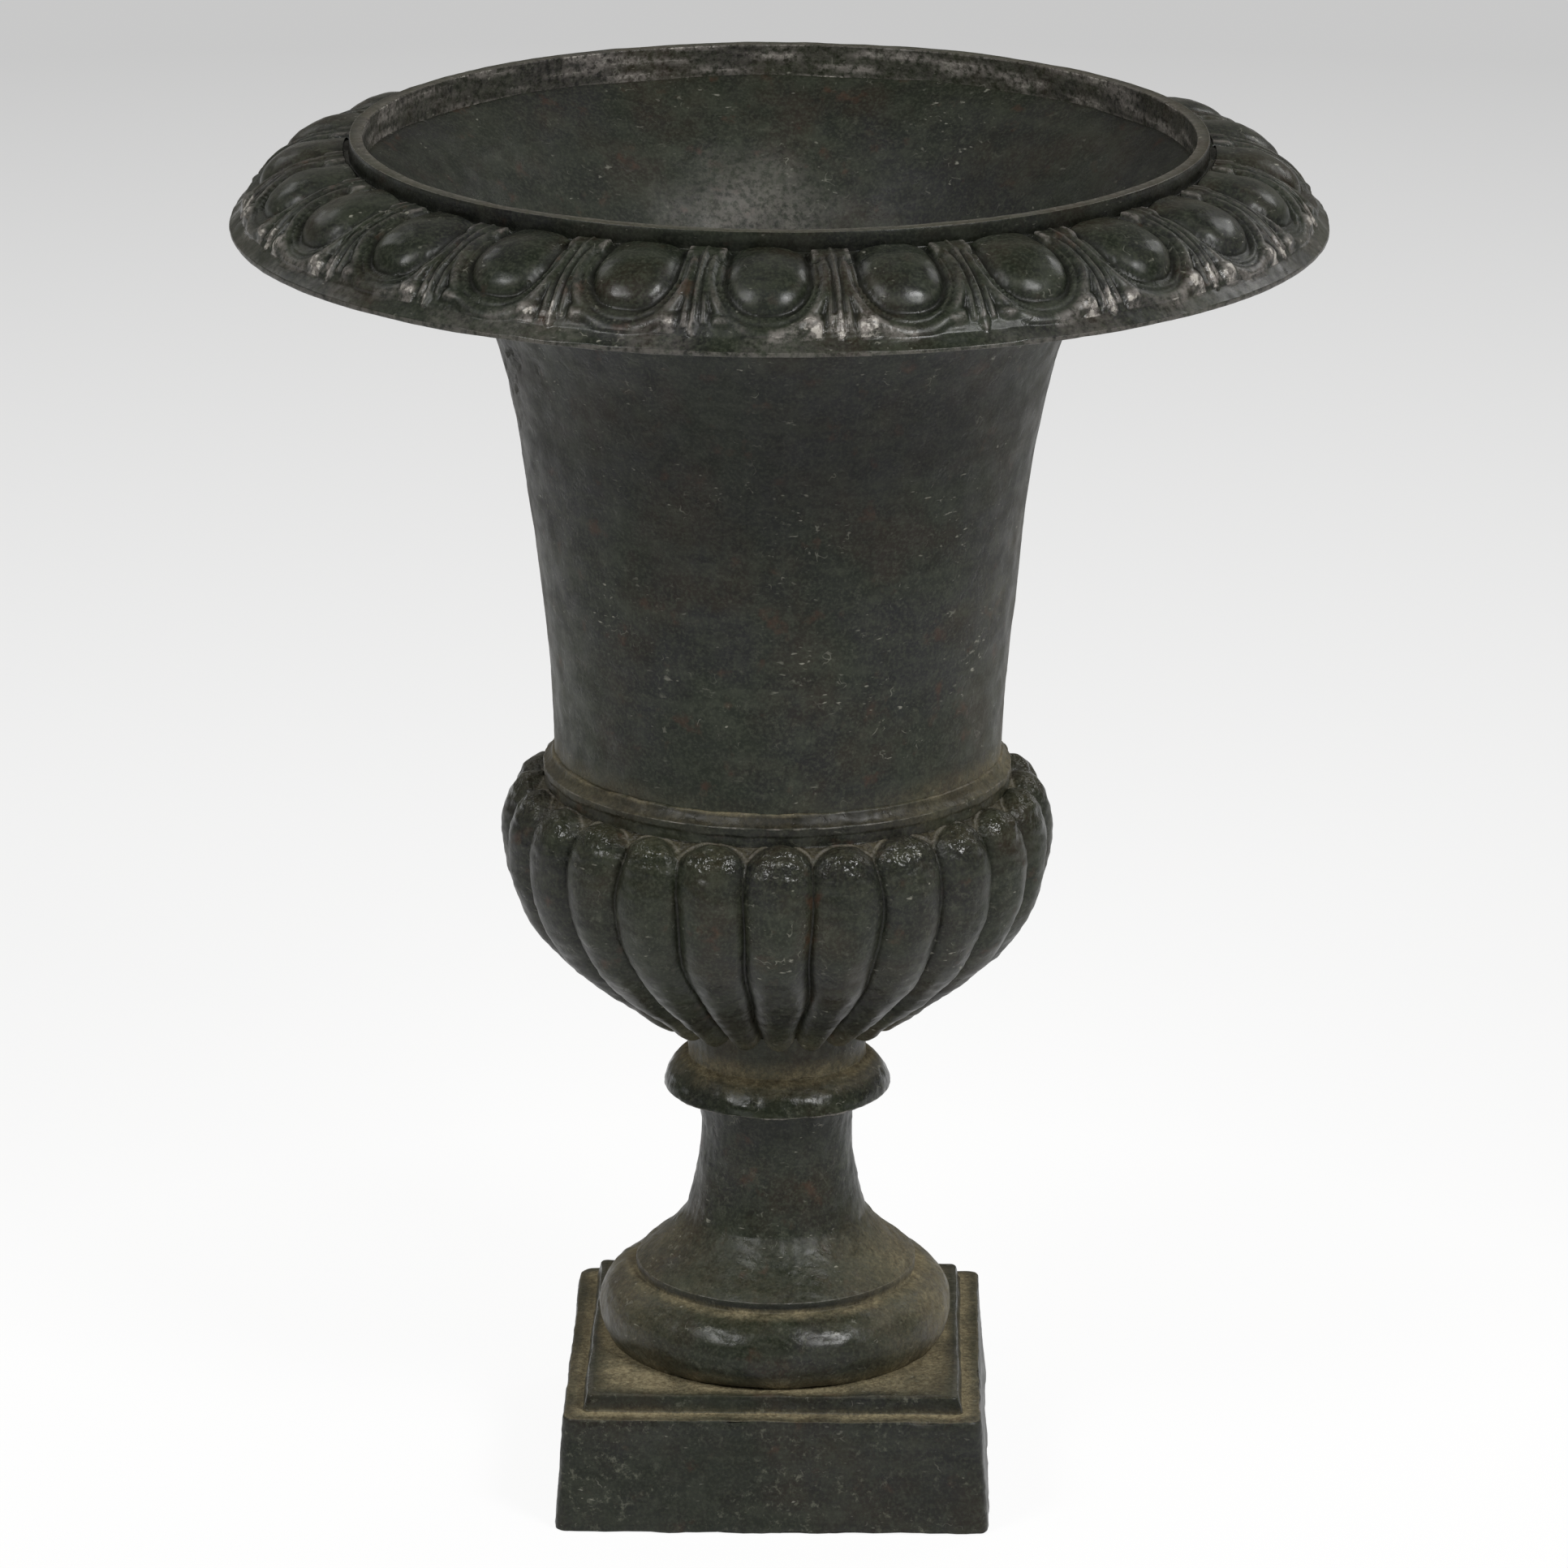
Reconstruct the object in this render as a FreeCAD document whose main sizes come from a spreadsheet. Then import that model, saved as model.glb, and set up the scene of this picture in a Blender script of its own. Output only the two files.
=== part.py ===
import FreeCAD, Part
import math
import os
import Sketcher

# A cast-iron campana garden urn: square plinth, pedestal, gadrooned bowl, flared bell and egg-and-dart rim,
# stacked on registers and held by a tie rod and flange bolts. Millimetres, +Z up, origin under the plinth,
# front towards -Y.

SIZES = (
    # plinth: a hollow tapered block with a step on its deck
    ("block_foot_width", 220.2),
    ("block_taper", 9.5),
    ("block_height", 59.6),
    ("block_corner", 6.0),
    ("step_inset", 9.6),
    ("step_taper", 4.0),
    ("step_height", 8.9),
    ("step_corner", 3.0),
    ("plinth_wall", 9.0),
    ("deck_thickness", 12.0),
    ("register_height", 6.0),
    ("register_width", 8.0),
    ("register_fit", 0.4),
    # pedestal: round base moulding, dome, waisted stem and collar
    ("base_ledge", 3.2),
    ("torus_undercut", 5.6),
    ("torus_equator_height", 15.5),
    ("torus_lower_bend", 24.2),
    ("torus_height", 36.0),
    ("torus_shrink", 17.6),
    ("torus_upper_bend", 20.75),
    ("quirk_depth", 1.2),
    ("quirk_height", 5.0),
    ("dome_lower_bend", 60.0),
    ("dome_middle_inset", 8.0),
    ("dome_middle_height", 6.8),
    ("dome_upper_bend", 80.0),
    ("dome_inset", 25.5),
    ("dome_height", 25.5),
    ("stem_lower_bend", 150.0),
    ("stem_lower_height", 42.0),
    ("stem_taper", 7.5),
    ("stem_upper_bend", 80.0),
    ("stem_upper_height", 27.0),
    ("stem_flare", 3.5),
    ("collar_swell", 12.8),
    ("collar_bend", 20.0),
    ("collar_height", 16.5),
    ("neck_radius", 45.0),
    ("neck_collar_height", 1.0),
    ("base_rim_width", 14.6),
    ("stem_wall", 11.0),
    ("dome_wall", 8.0),
    ("spigot_height", 8.0),
    ("spigot_wall", 7.6),
    ("neck_wall", 15.0),
    # bowl: a revolved core with gadroons on it
    ("equator_height", 120.0),
    ("shoulder_bend", 43.0),
    ("belly_bend", 92.4),
    ("keel_bend", 147.0),
    ("gadroon_height", 7.6),
    ("groove_depth", 6.5),
    ("gadroon_land", 0.7),
    ("bowl_wall", 8.0),
    ("bowl_swell", 21.4),
    ("bowl_floor", 9.0),
    ("bead_height", 3.5),
    ("bead_lift", 4.54),
    ("shoulder_width", 5.4),
    ("shoulder_cove_bend", 9.0),
    ("shoulder_cove_height", 6.0),
    ("socket_lip", 1.0),
    ("socket_depth", 11.5),
    ("socket_fit", 0.4),
    ("drain_radius", 4.0),
    # bell: a thin flared wall between a foot flange and a mouth flange
    ("bell_foot_radius", 112.2),
    ("bell_wall", 7.0),
    ("bell_sweep_bend", 842.0),
    ("bell_sweep_height", 202.5),
    ("bell_sweep_flare", 24.2),
    ("bell_flare_bend", 158.4),
    ("bell_flare_height", 83.0),
    ("bell_flare", 50.4),
    ("mouth_flange_thickness", 7.0),
    ("mouth_bead_height", 7.7),
    ("mouth_inner_bend", 150.0),
    ("mouth_inner_flare", 16.7),
    ("mouth_bead_width", 8.5),
    ("mouth_flange_width", 14.0),
    ("foot_flange_thickness", 7.0),
    ("foot_flange_width", 17.2),
    # rim: lip, egg-and-dart ovolo and thin brim
    ("lip_ledge", 1.5),
    ("lip_seam", 0.3),
    ("lip_width", 6.5),
    ("lip_height", 16.0),
    ("lip_stand", 9.5),
    ("lip_quirk", 2.0),
    ("rim_overhang", 59.5),
    ("rim_drop", 26.8),
    ("rim_crown", 7.1),
    ("rim_wall", 7.0),
    ("brim_width", 7.0),
    ("brim_fall", 4.5),
    ("brim_thickness", 3.5),
    ("rim_fit", 0.4),
    ("egg_half_length", 27.0),
    ("egg_half_width", 20.5),
    ("egg_half_height", 9.0),
    ("egg_sink", 4.2),
    ("husk_half_length", 32.0),
    ("husk_half_width", 27.0),
    ("husk_half_height", 8.0),
    ("husk_sink", 5.6),
    ("dart_half_length", 33.0),
    ("dart_half_width", 4.6),
    ("dart_half_height", 7.0),
    ("dart_sink", 3.4),
    # fasteners
    ("rod_radius", 8.0),
    ("rod_clearance", 1.0),
    ("rod_nut_radius", 13.9),
    ("rod_nut_height", 13.0),
    ("rod_washer_radius", 15.0),
    ("rod_washer_thickness", 3.0),
    ("rod_projection", 6.0),
    ("bar_width", 36.0),
    ("bar_thickness", 10.0),
    ("bar_bearing", 14.0),
    ("flange_bolt_radius", 4.0),
    ("flange_hole_clearance", 0.5),
    ("flange_head_radius", 7.5),
    ("flange_head_height", 5.3),
    ("flange_nut_height", 6.5),
    ("flange_washer_radius", 8.0),
    ("flange_washer_thickness", 1.6),
    ("flange_bolt_projection", 3.0),
    ("rim_bolt_radius", 3.0),
    ("rim_hole_clearance", 0.4),
    ("rim_head_radius", 5.8),
    ("rim_head_height", 4.0),
    ("rim_washer_radius", 6.2),
    ("rim_washer_thickness", 1.6),
    ("rim_bolt_reach", 7.0),
    ("rim_tap_spare", 1.0),
    ("cut_overrun", 5.0),
)

COUNTS = (
    ("gadroon_count", 24),
    ("egg_count", 24),
    ("drain_count", 4),
    ("flange_bolt_count", 4),
    ("rim_bolt_count", 6),
)

BELLY_TURN = 45
KEEL_TURN = 73
FLOOR_TURN = 68.5
SHOULDER_TURN = 50
FULL_TURN = 360
RIGHT_ANGLE = 90
HEXAGON_SIDES = 6

# Gadroon sections from the shoulder to the keel: turn above the equator, then shares of full height and width
GADROON_SECTION_SHARES = (
    (50, 0.16, 0.30),
    (45, 0.62, 0.74),
    (36, 0.93, 0.95),
    (18, 1.0, 1.0),
    (-12, 1.0, 1.0),
    (-45, 1.0, 1.0),
    (-58, 0.88, 0.97),
    (-67, 0.62, 0.80),
    (-73, 0.22, 0.40),
)

doc = FreeCAD.newDocument("garden_urn")
sheet = doc.addObject("Spreadsheet::Sheet", "Sizes")


class Size:
    """A number worked out from sheet cells, together with the expression that binds it."""

    def __init__(self, value, text):
        self.value = value
        self.text = text

    def __add__(self, other):
        return join(self, "+", other, lambda a, b: a + b)

    def __radd__(self, other):
        return join(other, "+", self, lambda a, b: a + b)

    def __sub__(self, other):
        return join(self, "-", other, lambda a, b: a - b)

    def __rsub__(self, other):
        return join(other, "-", self, lambda a, b: a - b)

    def __mul__(self, other):
        return join(self, "*", other, lambda a, b: a * b)

    def __rmul__(self, other):
        return join(other, "*", self, lambda a, b: a * b)

    def __truediv__(self, other):
        return join(self, "/", other, lambda a, b: a / b)

    def __rtruediv__(self, other):
        return join(other, "/", self, lambda a, b: a / b)

    def __neg__(self):
        return 0 - self


def as_size(number):
    """A plain number as a size, so that both kinds mix in sums."""
    return number if isinstance(number, Size) else Size(float(number), f"({number})")


def join(left, sign, right, work):
    """Two sizes joined by one arithmetic sign."""
    left, right = as_size(left), as_size(right)
    return Size(work(left.value, right.value), f"({left.text} {sign} {right.text})")


def cosine(angle):
    angle = as_size(angle)
    return Size(math.cos(math.radians(angle.value)), f"cos({angle.text})")


def sine(angle):
    angle = as_size(angle)
    return Size(math.sin(math.radians(angle.value)), f"sin({angle.text})")


def tangent(angle):
    angle = as_size(angle)
    return Size(math.tan(math.radians(angle.value)), f"tan({angle.text})")


def turn_of(rise, run):
    """The angle above level of a slope, in degrees."""
    return Size(math.degrees(math.atan2(rise.value, run.value)), f"(atan({(rise / run).text}) / 1 deg)")


def root(size):
    return Size(math.sqrt(size.value), f"sqrt({size.text})")


class Cells:
    """The sheet's sizes and counts by name."""


def fill_sheet():
    """Writes every driving size to its own cell and returns them by name."""
    cells = Cells()
    for row, (alias, number) in enumerate(SIZES + COUNTS, start=1):
        sheet.set(f"A{row}", alias)
        sheet.set(f"B{row}", str(number))
        sheet.setAlias(f"B{row}", alias)
        setattr(cells, alias, Size(float(number), f"Sizes.{alias}"))
    doc.recompute()
    return cells


dim = fill_sheet()


# Tools for sketches and features

def origin_feature(body, role):
    """One of the body's own origin planes or axes."""
    return [item for item in body.Origin.OriginFeatures if item.Role == role][0]


def new_body(label, height=None):
    """An empty body whose local zero stands at the given height."""
    body = doc.addObject("PartDesign::Body", label)
    body.Label = label
    if height is not None:
        body.setExpression("Placement.Base.z", height.text)
    return body


def new_sketch(body, name, role):
    sketch = body.newObject("Sketcher::SketchObject", name)
    sketch.AttachmentSupport = [(origin_feature(body, role), "")]
    sketch.MapMode = "FlatFace"
    return sketch


def arc_between(start, end, bend):
    """The minor arc from start to end; a positive bend turns left on the way, a negative one right."""
    middle = (start + end) / 2
    half = (end - start) / 2
    left = FreeCAD.Vector(-half.y, half.x, 0).normalize()
    centre = middle + left * math.copysign(math.sqrt(bend * bend - half.dot(half)), bend)
    first, last = (start, end) if bend > 0 else (end, start)
    circle = Part.Circle(centre, FreeCAD.Vector(0, 0, 1), abs(bend))
    return Part.ArcOfCircle(circle, circle.parameter(first), circle.parameter(last))


def pin_corner(sketch, edge, end, across, up):
    """Ties one end of an edge to its distance across and up from the sketch's origin."""
    for kind, axis, size in (("DistanceX", -2, as_size(across)), ("DistanceY", -1, as_size(up))):
        if size.text == "(0)":
            sketch.addConstraint(Sketcher.Constraint("PointOnObject", edge, end, axis))
        else:
            index = sketch.addConstraint(Sketcher.Constraint(kind, -1, 1, edge, end, size.value))
            sketch.setExpression(f"Constraints[{index}]", size.text)


def draw_outline(sketch, corners):
    """A closed outline. A corner is (across, up), or (across, up, bend) where an arc leads to the next."""
    points = [FreeCAD.Vector(as_size(c[0]).value, as_size(c[1]).value, 0) for c in corners]
    ends = []
    for place, corner in enumerate(corners):
        start, end = points[place], points[(place + 1) % len(points)]
        if len(corner) == 2:
            edge = sketch.addGeometry(Part.LineSegment(start, end))
            ends.append((edge, 1, 2))
        else:
            edge = sketch.addGeometry(arc_between(start, end, corner[2].value))
            ends.append((edge, 1, 2) if corner[2].value > 0 else (edge, 2, 1))
    for place, corner in enumerate(corners):
        edge, first, last = ends[place]
        before = ends[place - 1]
        sketch.addConstraint(Sketcher.Constraint("Coincident", before[0], before[2], edge, first))
        pin_corner(sketch, edge, first, corner[0], corner[1])
        if len(corner) == 3:
            size = corner[2] if corner[2].value > 0 else -corner[2]
            index = sketch.addConstraint(Sketcher.Constraint("Radius", edge, size.value))
            sketch.setExpression(f"Constraints[{index}]", size.text)


def revolve(body, name, corners):
    """A solid of revolution about the body's upright axis, from an outline of (radius, height) corners."""
    sketch = new_sketch(body, f"{name}_outline", "XZ_Plane")
    draw_outline(sketch, corners)
    feature = body.newObject("PartDesign::Revolution", name)
    feature.Profile = sketch
    feature.ReferenceAxis = (sketch, ["V_Axis"])
    feature.Angle = FULL_TURN
    sketch.Visibility = False
    return feature


def repeat(body, name, originals, count):
    """Copies of features round the body's upright axis."""
    pattern = body.newObject("PartDesign::PolarPattern", name)
    pattern.Originals = originals
    pattern.Axis = (origin_feature(body, "Z_Axis"), [""])
    pattern.Angle = FULL_TURN
    pattern.setExpression("Occurrences", count.text)
    body.Tip = pattern
    return pattern


def drill(body, name, radius, depth, across, up):
    """An upright round hole of the given depth, from the height given upwards."""
    hole = body.newObject("PartDesign::SubtractiveCylinder", name)
    hole.setExpression("Radius", radius.text)
    hole.setExpression("Height", depth.text)
    hole.setExpression("Placement.Base.x", as_size(across).text)
    hole.setExpression("Placement.Base.z", as_size(up).text)
    return hole


def add_ellipsoid(body, name, half_sizes, across, up, turn, side_turn):
    """An ellipsoid, half sizes along its normal, meridian and tangent, whose normal points turn above level."""
    item = body.newObject("PartDesign::AdditiveEllipsoid", name)
    for place, size in enumerate(half_sizes, start=1):
        item.setExpression(f"Radius{place}", size.text)
    side_turn = as_size(side_turn)
    spot = (across * cosine(side_turn), across * sine(side_turn), up)
    lean = RIGHT_ANGLE - turn
    item.setExpression("Placement", "placement(vector({}; {}; {}); rotation({}; {}; 0))".format(
        *(size.text for size in spot), side_turn.text, lean.text))
    return item


# Heights and radii that several pieces share

plinth_height = dim.block_height + dim.step_height
pedestal_height = (dim.torus_height + dim.quirk_height + dim.dome_height + dim.stem_lower_height
                   + dim.stem_upper_height + dim.collar_height + dim.neck_collar_height)
bowl_base = plinth_height + pedestal_height
step_top_width = dim.block_foot_width - dim.block_taper - 2 * dim.step_inset - dim.step_taper
torus_radius = step_top_width / 2 - dim.base_ledge
register_radius = torus_radius - dim.torus_undercut - dim.base_rim_width
deck_hole_radius = register_radius - dim.register_width
neck_bore_radius = dim.neck_radius - dim.neck_wall
spigot_radius = neck_bore_radius - dim.register_fit
spigot_bore_radius = spigot_radius - dim.spigot_wall
rod_hole_radius = dim.rod_radius + dim.rod_clearance

socket_radius = dim.bell_foot_radius + dim.socket_fit
bead_radius = socket_radius + dim.shoulder_width
bowl_radius = bead_radius + dim.bowl_swell
shoulder_centre = bowl_radius - dim.shoulder_bend
belly_centre = bowl_radius - dim.belly_bend
keel_shift = (dim.keel_bend - dim.belly_bend) * cosine(BELLY_TURN)
keel_centre = belly_centre - keel_shift
keel_centre_height = dim.equator_height + keel_shift
shoulder_core = dim.shoulder_bend - dim.groove_depth
belly_core = dim.belly_bend - dim.groove_depth
keel_core = dim.keel_bend - dim.groove_depth
bead_foot_height = dim.equator_height + shoulder_core * sine(SHOULDER_TURN) + dim.bead_lift
shoulder_height = bead_foot_height + dim.bead_height + dim.shoulder_cove_height
bell_seat_height = shoulder_height - dim.socket_depth
floor_height = keel_centre_height - (keel_core - dim.bowl_wall) * sine(FLOOR_TURN)
neck_ceiling = floor_height - dim.bowl_floor

bell_base = bowl_base + bell_seat_height
bell_spring_radius = dim.bell_foot_radius + dim.bell_sweep_flare
bell_spring_height = dim.socket_depth + dim.bell_sweep_height
mouth_flange_height = bell_spring_height + dim.bell_flare_height
mouth_flange_top = mouth_flange_height + dim.mouth_flange_thickness
mouth_radius = bell_spring_radius + dim.bell_flare + dim.mouth_inner_flare
mouth_bead_radius = mouth_radius + dim.mouth_bead_width
mouth_flange_radius = mouth_bead_radius + dim.mouth_flange_width
foot_flange_radius = dim.bell_foot_radius - dim.bell_wall - dim.foot_flange_width
flange_bolt_circle = foot_flange_radius + dim.foot_flange_width / 2

rim_base = bell_base + mouth_flange_top + dim.mouth_bead_height + dim.lip_seam
rim_seat_depth = dim.mouth_bead_height + dim.lip_seam
lip_radius = mouth_radius + dim.lip_ledge
lip_outer_radius = lip_radius + dim.lip_width
rim_bolt_circle = mouth_bead_radius + dim.mouth_flange_width / 2


# Castings

def rounded_square(sketch, width, corner):
    """A square outline with round corners."""
    half = width / 2
    inner = half - corner
    draw_outline(sketch, (
        (inner, -half, corner),
        (half, -inner),
        (half, inner, corner),
        (inner, half),
        (-inner, half, corner),
        (-half, inner),
        (-half, -inner, corner),
        (-inner, -half),
    ))


def square_section(body, name, width, corner, height):
    """A round-cornered square at a height above the body's zero."""
    sketch = new_sketch(body, name, "XY_Plane")
    sketch.setExpression("AttachmentOffset.Base.z", as_size(height).text)
    rounded_square(sketch, width, corner)
    sketch.Visibility = False
    return sketch


def loft(body, kind, name, sections):
    feature = body.newObject(f"PartDesign::{kind}", name)
    feature.Profile = sections[0]
    feature.Sections = sections[1:]
    return feature


def make_plinth():
    """A tapered block with a bevelled step, hollow below its deck, with a ring that centres the pedestal."""
    body = new_body("plinth")
    block_top = dim.block_foot_width - dim.block_taper
    step_foot = block_top - 2 * dim.step_inset
    loft(body, "AdditiveLoft", "block", [
        square_section(body, "block_foot", dim.block_foot_width, dim.block_corner, 0),
        square_section(body, "block_top", block_top, dim.block_corner, dim.block_height),
    ])
    loft(body, "AdditiveLoft", "step", [
        square_section(body, "step_foot", step_foot, dim.step_corner, dim.block_height),
        square_section(body, "step_top", step_top_width, dim.step_corner, plinth_height),
    ])
    deck_under = plinth_height - dim.deck_thickness
    loft(body, "SubtractiveLoft", "hollow", [
        square_section(body, "hollow_foot", dim.block_foot_width - 2 * dim.plinth_wall, dim.block_corner, 0),
        square_section(body, "hollow_top", block_top - 2 * dim.plinth_wall, dim.block_corner, deck_under),
    ])
    revolve(body, "register", (
        (deck_hole_radius, deck_under),
        (register_radius, deck_under),
        (register_radius, plinth_height + dim.register_height),
        (deck_hole_radius, plinth_height + dim.register_height),
    ))
    drill(body, "deck_hole", deck_hole_radius, plinth_height + dim.register_height, 0, 0)
    return body


def make_pedestal():
    """Round base moulding, dome, waisted stem and collar over a hollow, with a spigot for the bowl's neck."""
    body = new_body("pedestal", plinth_height)
    hollow_radius = register_radius + dim.register_fit
    torus_top_radius = torus_radius - dim.torus_shrink
    dome_foot_radius = torus_top_radius - dim.quirk_depth
    dome_foot_height = dim.torus_height + dim.quirk_height
    dome_top_radius = dome_foot_radius - dim.dome_inset
    dome_top_height = dome_foot_height + dim.dome_height
    waist_radius = dome_top_radius - dim.stem_taper
    waist_height = dome_top_height + dim.stem_lower_height
    collar_height = waist_height + dim.stem_upper_height
    stem_bore = waist_radius - dim.stem_wall
    revolve(body, "turning", (
        (torus_radius - dim.torus_undercut, 0, dim.torus_lower_bend),
        (torus_radius, dim.torus_equator_height, dim.torus_upper_bend),
        (torus_top_radius, dim.torus_height),
        (dome_foot_radius, dim.torus_height),
        (dome_foot_radius, dome_foot_height, dim.dome_lower_bend),
        (dome_foot_radius - dim.dome_middle_inset, dome_foot_height + dim.dome_middle_height,
         -dim.dome_upper_bend),
        (dome_top_radius, dome_top_height, -dim.stem_lower_bend),
        (waist_radius, waist_height, -dim.stem_upper_bend),
        (waist_radius + dim.stem_flare, collar_height),
        (dim.neck_radius + dim.collar_swell, collar_height, dim.collar_bend),
        (dim.neck_radius, collar_height + dim.collar_height),
        (dim.neck_radius, pedestal_height),
        (spigot_radius, pedestal_height),
        (spigot_radius, pedestal_height + dim.spigot_height),
        (spigot_bore_radius, pedestal_height + dim.spigot_height),
        (spigot_bore_radius, collar_height),
        (stem_bore, waist_height),
        (dome_top_radius - dim.stem_wall, dome_top_height),
        (dome_foot_radius - dim.dome_wall, dim.torus_height),
        (hollow_radius, dim.torus_height - dim.dome_wall),
        (hollow_radius, 0),
    ))
    return body


def crest_point(turn, sink):
    """A point on the gadroons' crest line, turn degrees above the equator, sunk towards the arc's centre."""
    if turn > 0:
        centre, height, bend = shoulder_centre, dim.equator_height, dim.shoulder_bend
    elif turn >= -BELLY_TURN:
        centre, height, bend = belly_centre, dim.equator_height, dim.belly_bend
    else:
        centre, height, bend = keel_centre, keel_centre_height, dim.keel_bend
    reach = bend - sink
    return centre + reach * cosine(turn), height + reach * sine(turn)


def gadroon_section(body, place, turn, height_share, width_share):
    """One cross-section of a gadroon: a flat base and a round back, square to the crest line."""
    across, up = crest_point(turn, dim.gadroon_height)
    half_pitch = across * tangent(FULL_TURN / dim.gadroon_count / 2)
    half = (half_pitch - dim.gadroon_land) * width_share
    rise = dim.gadroon_height * height_share
    sketch = new_sketch(body, f"gadroon_section_{place}", "YZ_Plane")
    lean = FreeCAD.Rotation(FreeCAD.Vector(1, 0, 0), RIGHT_ANGLE - turn)
    sketch.AttachmentOffset = FreeCAD.Placement(FreeCAD.Vector(), lean)
    sketch.setExpression("AttachmentOffset.Base.y", up.text)
    sketch.setExpression("AttachmentOffset.Base.z", across.text)
    draw_outline(sketch, ((half, 0, (half * half + rise * rise) / (2 * rise)), (-half, 0)))
    sketch.Visibility = False
    return sketch


def make_bowl():
    """A hollow core with gadroons round it, a neck below and a socket with a bolting flange above."""
    body = new_body("gadrooned_bowl", bowl_base)
    shoulder_inner = shoulder_core - dim.bowl_wall
    belly_inner = belly_core - dim.bowl_wall
    keel_inner = keel_core - dim.bowl_wall
    flange_under = bell_seat_height - dim.foot_flange_thickness
    flange_rise = flange_under - dim.equator_height
    under_radius = shoulder_centre + root(shoulder_inner * shoulder_inner - flange_rise * flange_rise)
    keel_end = keel_centre_height - keel_core * sine(KEEL_TURN)
    revolve(body, "core", (
        (dim.neck_radius, 0),
        (dim.neck_radius, keel_end),
        (keel_centre + keel_core * cosine(KEEL_TURN), keel_end, keel_core),
        (belly_centre + belly_core * cosine(BELLY_TURN), dim.equator_height - belly_core * sine(BELLY_TURN),
         belly_core),
        (bowl_radius - dim.groove_depth, dim.equator_height, shoulder_core),
        (shoulder_centre + shoulder_core * cosine(SHOULDER_TURN), bead_foot_height - dim.bead_lift),
        (bead_radius, bead_foot_height),
        (bead_radius, bead_foot_height + dim.bead_height, -dim.shoulder_cove_bend),
        (socket_radius + dim.socket_lip, shoulder_height),
        (socket_radius, shoulder_height),
        (socket_radius, bell_seat_height),
        (foot_flange_radius, bell_seat_height),
        (foot_flange_radius, flange_under),
        (under_radius, flange_under, -shoulder_inner),
        (bowl_radius - dim.groove_depth - dim.bowl_wall, dim.equator_height, -belly_inner),
        (belly_centre + belly_inner * cosine(BELLY_TURN), dim.equator_height - belly_inner * sine(BELLY_TURN),
         -keel_inner),
        (keel_centre + keel_inner * cosine(FLOOR_TURN), floor_height),
        (rod_hole_radius, floor_height),
        (rod_hole_radius, neck_ceiling),
        (neck_bore_radius, neck_ceiling),
        (neck_bore_radius, 0),
    ))
    sections = [gadroon_section(body, place, *shares) for place, shares in enumerate(GADROON_SECTION_SHARES)]
    lobe = loft(body, "AdditiveLoft", "gadroon", sections)
    doc.recompute()
    repeat(body, "gadroons", [lobe], dim.gadroon_count)
    drain = drill(body, "drain", dim.drain_radius, dim.bowl_floor, (rod_hole_radius + neck_bore_radius) / 2,
                  neck_ceiling)
    repeat(body, "drains", [drain], dim.drain_count)
    bolt_hole = drill(body, "flange_hole", dim.flange_bolt_radius + dim.flange_hole_clearance,
                      dim.foot_flange_thickness, flange_bolt_circle, flange_under)
    repeat(body, "flange_holes", [bolt_hole], dim.flange_bolt_count)
    return body


def make_bell():
    """The flared bell: a bolting flange at its foot, and a bead and flange at its mouth for the rim."""
    body = new_body("bell_body", bell_base)
    inner_foot_radius = dim.bell_foot_radius - dim.bell_wall
    revolve(body, "wall", (
        (foot_flange_radius, 0),
        (dim.bell_foot_radius, 0),
        (dim.bell_foot_radius, dim.socket_depth, -dim.bell_sweep_bend),
        (bell_spring_radius, bell_spring_height, -dim.bell_flare_bend),
        (bell_spring_radius + dim.bell_flare, mouth_flange_height),
        (mouth_flange_radius, mouth_flange_height),
        (mouth_flange_radius, mouth_flange_top),
        (mouth_bead_radius, mouth_flange_top),
        (mouth_bead_radius, mouth_flange_top + dim.mouth_bead_height),
        (mouth_radius, mouth_flange_top + dim.mouth_bead_height, dim.mouth_inner_bend),
        (bell_spring_radius - dim.bell_wall, bell_spring_height, dim.bell_sweep_bend),
        (inner_foot_radius, dim.socket_depth),
        (inner_foot_radius, dim.foot_flange_thickness),
        (foot_flange_radius, dim.foot_flange_thickness),
    ))
    foot_hole = drill(body, "flange_hole", dim.flange_bolt_radius + dim.flange_hole_clearance,
                      dim.foot_flange_thickness, flange_bolt_circle, 0)
    repeat(body, "flange_holes", [foot_hole], dim.flange_bolt_count)
    rim_hole = drill(body, "rim_hole", dim.rim_bolt_radius + dim.rim_hole_clearance,
                     dim.mouth_flange_thickness, rim_bolt_circle, mouth_flange_height)
    repeat(body, "rim_holes", [rim_hole], dim.rim_bolt_count)
    return body


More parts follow.
